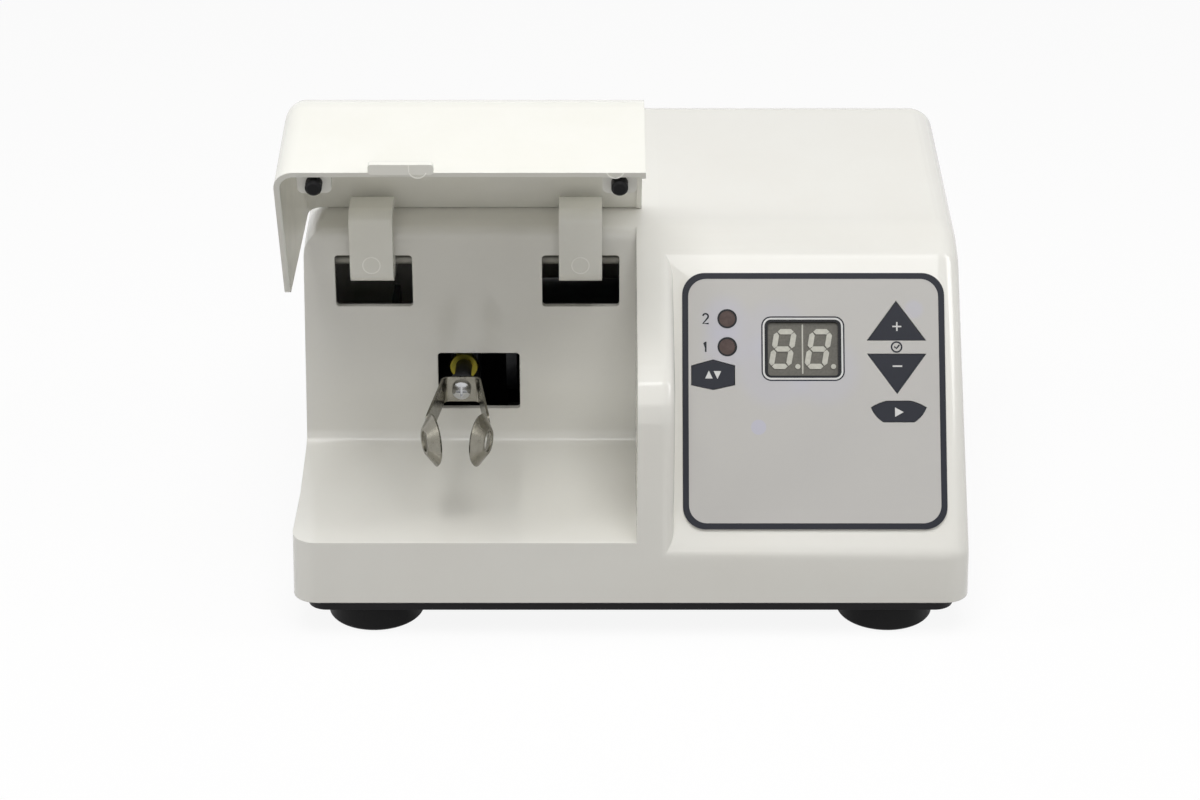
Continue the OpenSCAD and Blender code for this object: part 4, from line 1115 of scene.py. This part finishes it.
@dataclass
class RearFittings(SubAssembly):
    """The mains inlet, fuse and rocker switch on the back."""

    title: ClassVar[str] = "rear fittings"
    finishes: ClassVar[dict[str, Finish]] = {
        "mains_inlet": BLACK_ABS,
        "inlet_pins": ZINC_STEEL,
        "inlet_screws": ZINC_STEEL,
        "fuse_holder": BLACK_ABS,
        "switch_frame": BLACK_ABS,
        "switch_rocker": BLACK_ABS,
    }
    # The marks, and how far their plane is from the rocker
    mark_off: float = 4.6
    mark_h: float = 3.4
    mark_line: float = 0.5
    bar_steps: int = 8
    ring_sides: int = 32
    ink: float = 0.05
    stand_off: float = 5.0

    def build(self) -> None:
        """Prints a bar and a ring, for on and off, on the rocker."""
        low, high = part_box("switch_rocker")
        middle = Vector(((low.x + high.x) / 2, high.y + self.stand_off * MM, (low.z + high.z) / 2))
        facing = Matrix(((-1, 0, 0, 0), (0, 0, 1, 0), (0, 1, 0, 0), (0, 0, 0, 1)))
        plane = Matrix.Translation(middle) @ facing
        shares = [step / self.bar_steps - 0.5 for step in range(self.bar_steps + 1)]
        bar = [(self.mark_off, share * self.mark_h) for share in shares]
        ring = circle(-self.mark_off, 0, self.mark_h / 2, self.ring_sides)
        for name, points, closed in (("rocker_mark_on", bar, False), ("rocker_mark_off", ring, True)):
            flat = stroke(points, self.mark_line, -self.ink, self.ink, plane, closed)
            mesh = printed_on(flat, "switch_rocker", plane)
            mesh_piece(name, mesh, PALE_INK, "rocker")


@dataclass(frozen=True)
class Lamp:
    """A soft rectangular lamp: its place and size in metres, and its power in watts.

    One that isn't mirrored lights the object and stays out of its reflections.
    """

    name: str
    at: tuple[float, float, float]
    size: tuple[float, float]
    watts: float
    mirrored: bool = True

    def hang(self, aim: Vector) -> None:
        """Makes the lamp, which points at a place.

        Args:
            aim: the place, in metres.
        """
        data = bpy.data.lights.new(self.name, "AREA")
        data.shape = "RECTANGLE"
        data.size, data.size_y = self.size
        data.energy = self.watts
        lamp = bpy.data.objects.new(self.name, data)
        bpy.context.scene.collection.objects.link(lamp)
        lamp.location = self.at
        lamp.visible_glossy = self.mirrored
        lamp.rotation_mode = "QUATERNION"
        lamp.rotation_quaternion = (Vector(self.at) - aim).to_track_quat("Z", "Y")


@dataclass
class Studio:
    """The plain pale floor, soft light, world and camera. Lengths are in metres."""

    # A soft box above the front, one overhead, a low fill, and a weak one on each side
    lamps: ClassVar[tuple[Lamp, ...]] = (
        Lamp("softbox_front", (0.0, -0.85, 1.45), (1.1, 0.6), 6.6),
        Lamp("softbox_above", (0.0, -0.4, 1.58), (1.1, 0.8), 12.3, mirrored=False),
        Lamp("fill_front", (0.0, -1.6, 0.45), (1.2, 0.5), 2.9, mirrored=False),
        Lamp("softbox_left", (-1.4, -0.3, 0.8), (0.4, 0.9), 6.0),
        Lamp("softbox_right", (1.4, -0.2, 0.8), (0.4, 0.9), 6.0),
    )
    aim: tuple[float, float, float] = (0.0, 0.0, 0.08)
    # The floor: its colour as seen and as it throws light back, and its own glow
    floor_side: float = 6.0
    floor_drop: float = 0.0002
    floor_seen: str = "#F6F5F5"
    floor_lit: str = "#A3A19E"
    floor_roughness: float = 0.9
    floor_glow: float = 0.9
    world_strength: float = 0.125
    camera_at: tuple[float, float, float] = (-0.011, -1.0225, 0.530)
    camera_pitch: float = 65.0
    camera_clip: tuple[float, float] = (0.01, 50.0)
    lens_mm: float = 90.06
    sensor_mm: float = 36.0

    def build(self) -> None:
        """Makes the floor, the world, the lamps and the camera."""
        self.floor()
        self.world()
        for lamp in self.lamps:
            lamp.hang(Vector(self.aim))
        self.camera()

    def seen(self, tree: bpy.types.NodeTree) -> bpy.types.NodeSocket:
        """Tells the rays that show a surface from those that only light others.

        Args:
            tree: the tree that gets the nodes.

        Returns:
            A socket that is one for a camera, glossy or transmission ray, and nothing for others.
        """
        path = add_node(tree, "ShaderNodeLightPath").outputs
        first = {0: path["Is Camera Ray"], 1: path["Is Glossy Ray"]}
        either = add_node(tree, "ShaderNodeMath", first, operation="MAXIMUM").outputs[0]
        both = {0: either, 1: path["Is Transmission Ray"]}
        return add_node(tree, "ShaderNodeMath", both, operation="MAXIMUM").outputs[0]

    def floor(self) -> None:
        """A large floor that looks white, keeps the object's shadow and throws back little light."""
        mesh = bmesh.new()
        bmesh.ops.create_grid(mesh, x_segments=1, y_segments=1, size=self.floor_side / 2)
        data = bpy.data.meshes.new("studio_floor")
        mesh.to_mesh(data)
        mesh.free()
        floor = bpy.data.objects.new("studio_floor", data)
        bpy.context.scene.collection.objects.link(floor)
        floor.location.z = -self.floor_drop
        material = bpy.data.materials.new("studio_floor_paper")
        material.use_nodes = True
        tree = material.node_tree
        paper = tree.nodes["Principled BSDF"]
        seen = self.seen(tree)
        colours = {0: seen, 6: to_linear(self.floor_lit), 7: to_linear(self.floor_seen)}
        colour = add_node(tree, "ShaderNodeMix", colours, data_type="RGBA")
        tree.links.new(colour.outputs[2], paper.inputs["Base Color"])
        paper.inputs["Roughness"].default_value = self.floor_roughness
        white = add_node(tree, "ShaderNodeEmission", {"Strength": 1.0})
        share = add_node(tree, "ShaderNodeMath", {0: seen, 1: self.floor_glow}, operation="MULTIPLY")
        shares = {0: share.outputs[0], 1: paper.outputs[0], 2: white.outputs[0]}
        mix = add_node(tree, "ShaderNodeMixShader", shares)
        tree.links.new(mix.outputs[0], tree.nodes["Material Output"].inputs["Surface"])
        data.materials.append(material)

    def world(self) -> None:
        """A white surround, seen at full strength and lighting at a lower one."""
        world = bpy.data.worlds.new("studio_surround")
        world.use_nodes = True
        bpy.context.scene.world = world
        tree = world.node_tree
        ends = {0: self.seen(tree), 3: self.world_strength, 4: 1.0}
        strength = add_node(tree, "ShaderNodeMapRange", ends)
        back = tree.nodes["Background"]
        back.inputs["Color"].default_value = (1.0, 1.0, 1.0, 1.0)
        tree.links.new(strength.outputs[0], back.inputs["Strength"])

    def camera(self) -> None:
        """The camera at the photograph's viewing angle."""
        data = bpy.data.cameras.new("studio_camera")
        data.lens = self.lens_mm
        data.sensor_width = self.sensor_mm
        data.clip_start, data.clip_end = self.camera_clip
        camera = bpy.data.objects.new("studio_camera", data)
        bpy.context.scene.collection.objects.link(camera)
        camera.location = self.camera_at
        camera.rotation_euler = (math.radians(self.camera_pitch), 0, 0)
        bpy.context.scene.camera = camera
        bpy.context.scene.view_settings.view_transform = "Standard"


def main() -> None:
    """Builds the studio, then makes and dresses each sub-assembly in order."""
    logging.basicConfig(level=logging.INFO, format="%(name)s: %(message)s")
    Studio().build()
    for part in (Casing(), Lid(), CapsuleFork(), SwingDrive(), KeyPanel(), Electronics(), RearFittings()):
        part.build()
        part.dress()


if __name__ == "__main__":
    main()
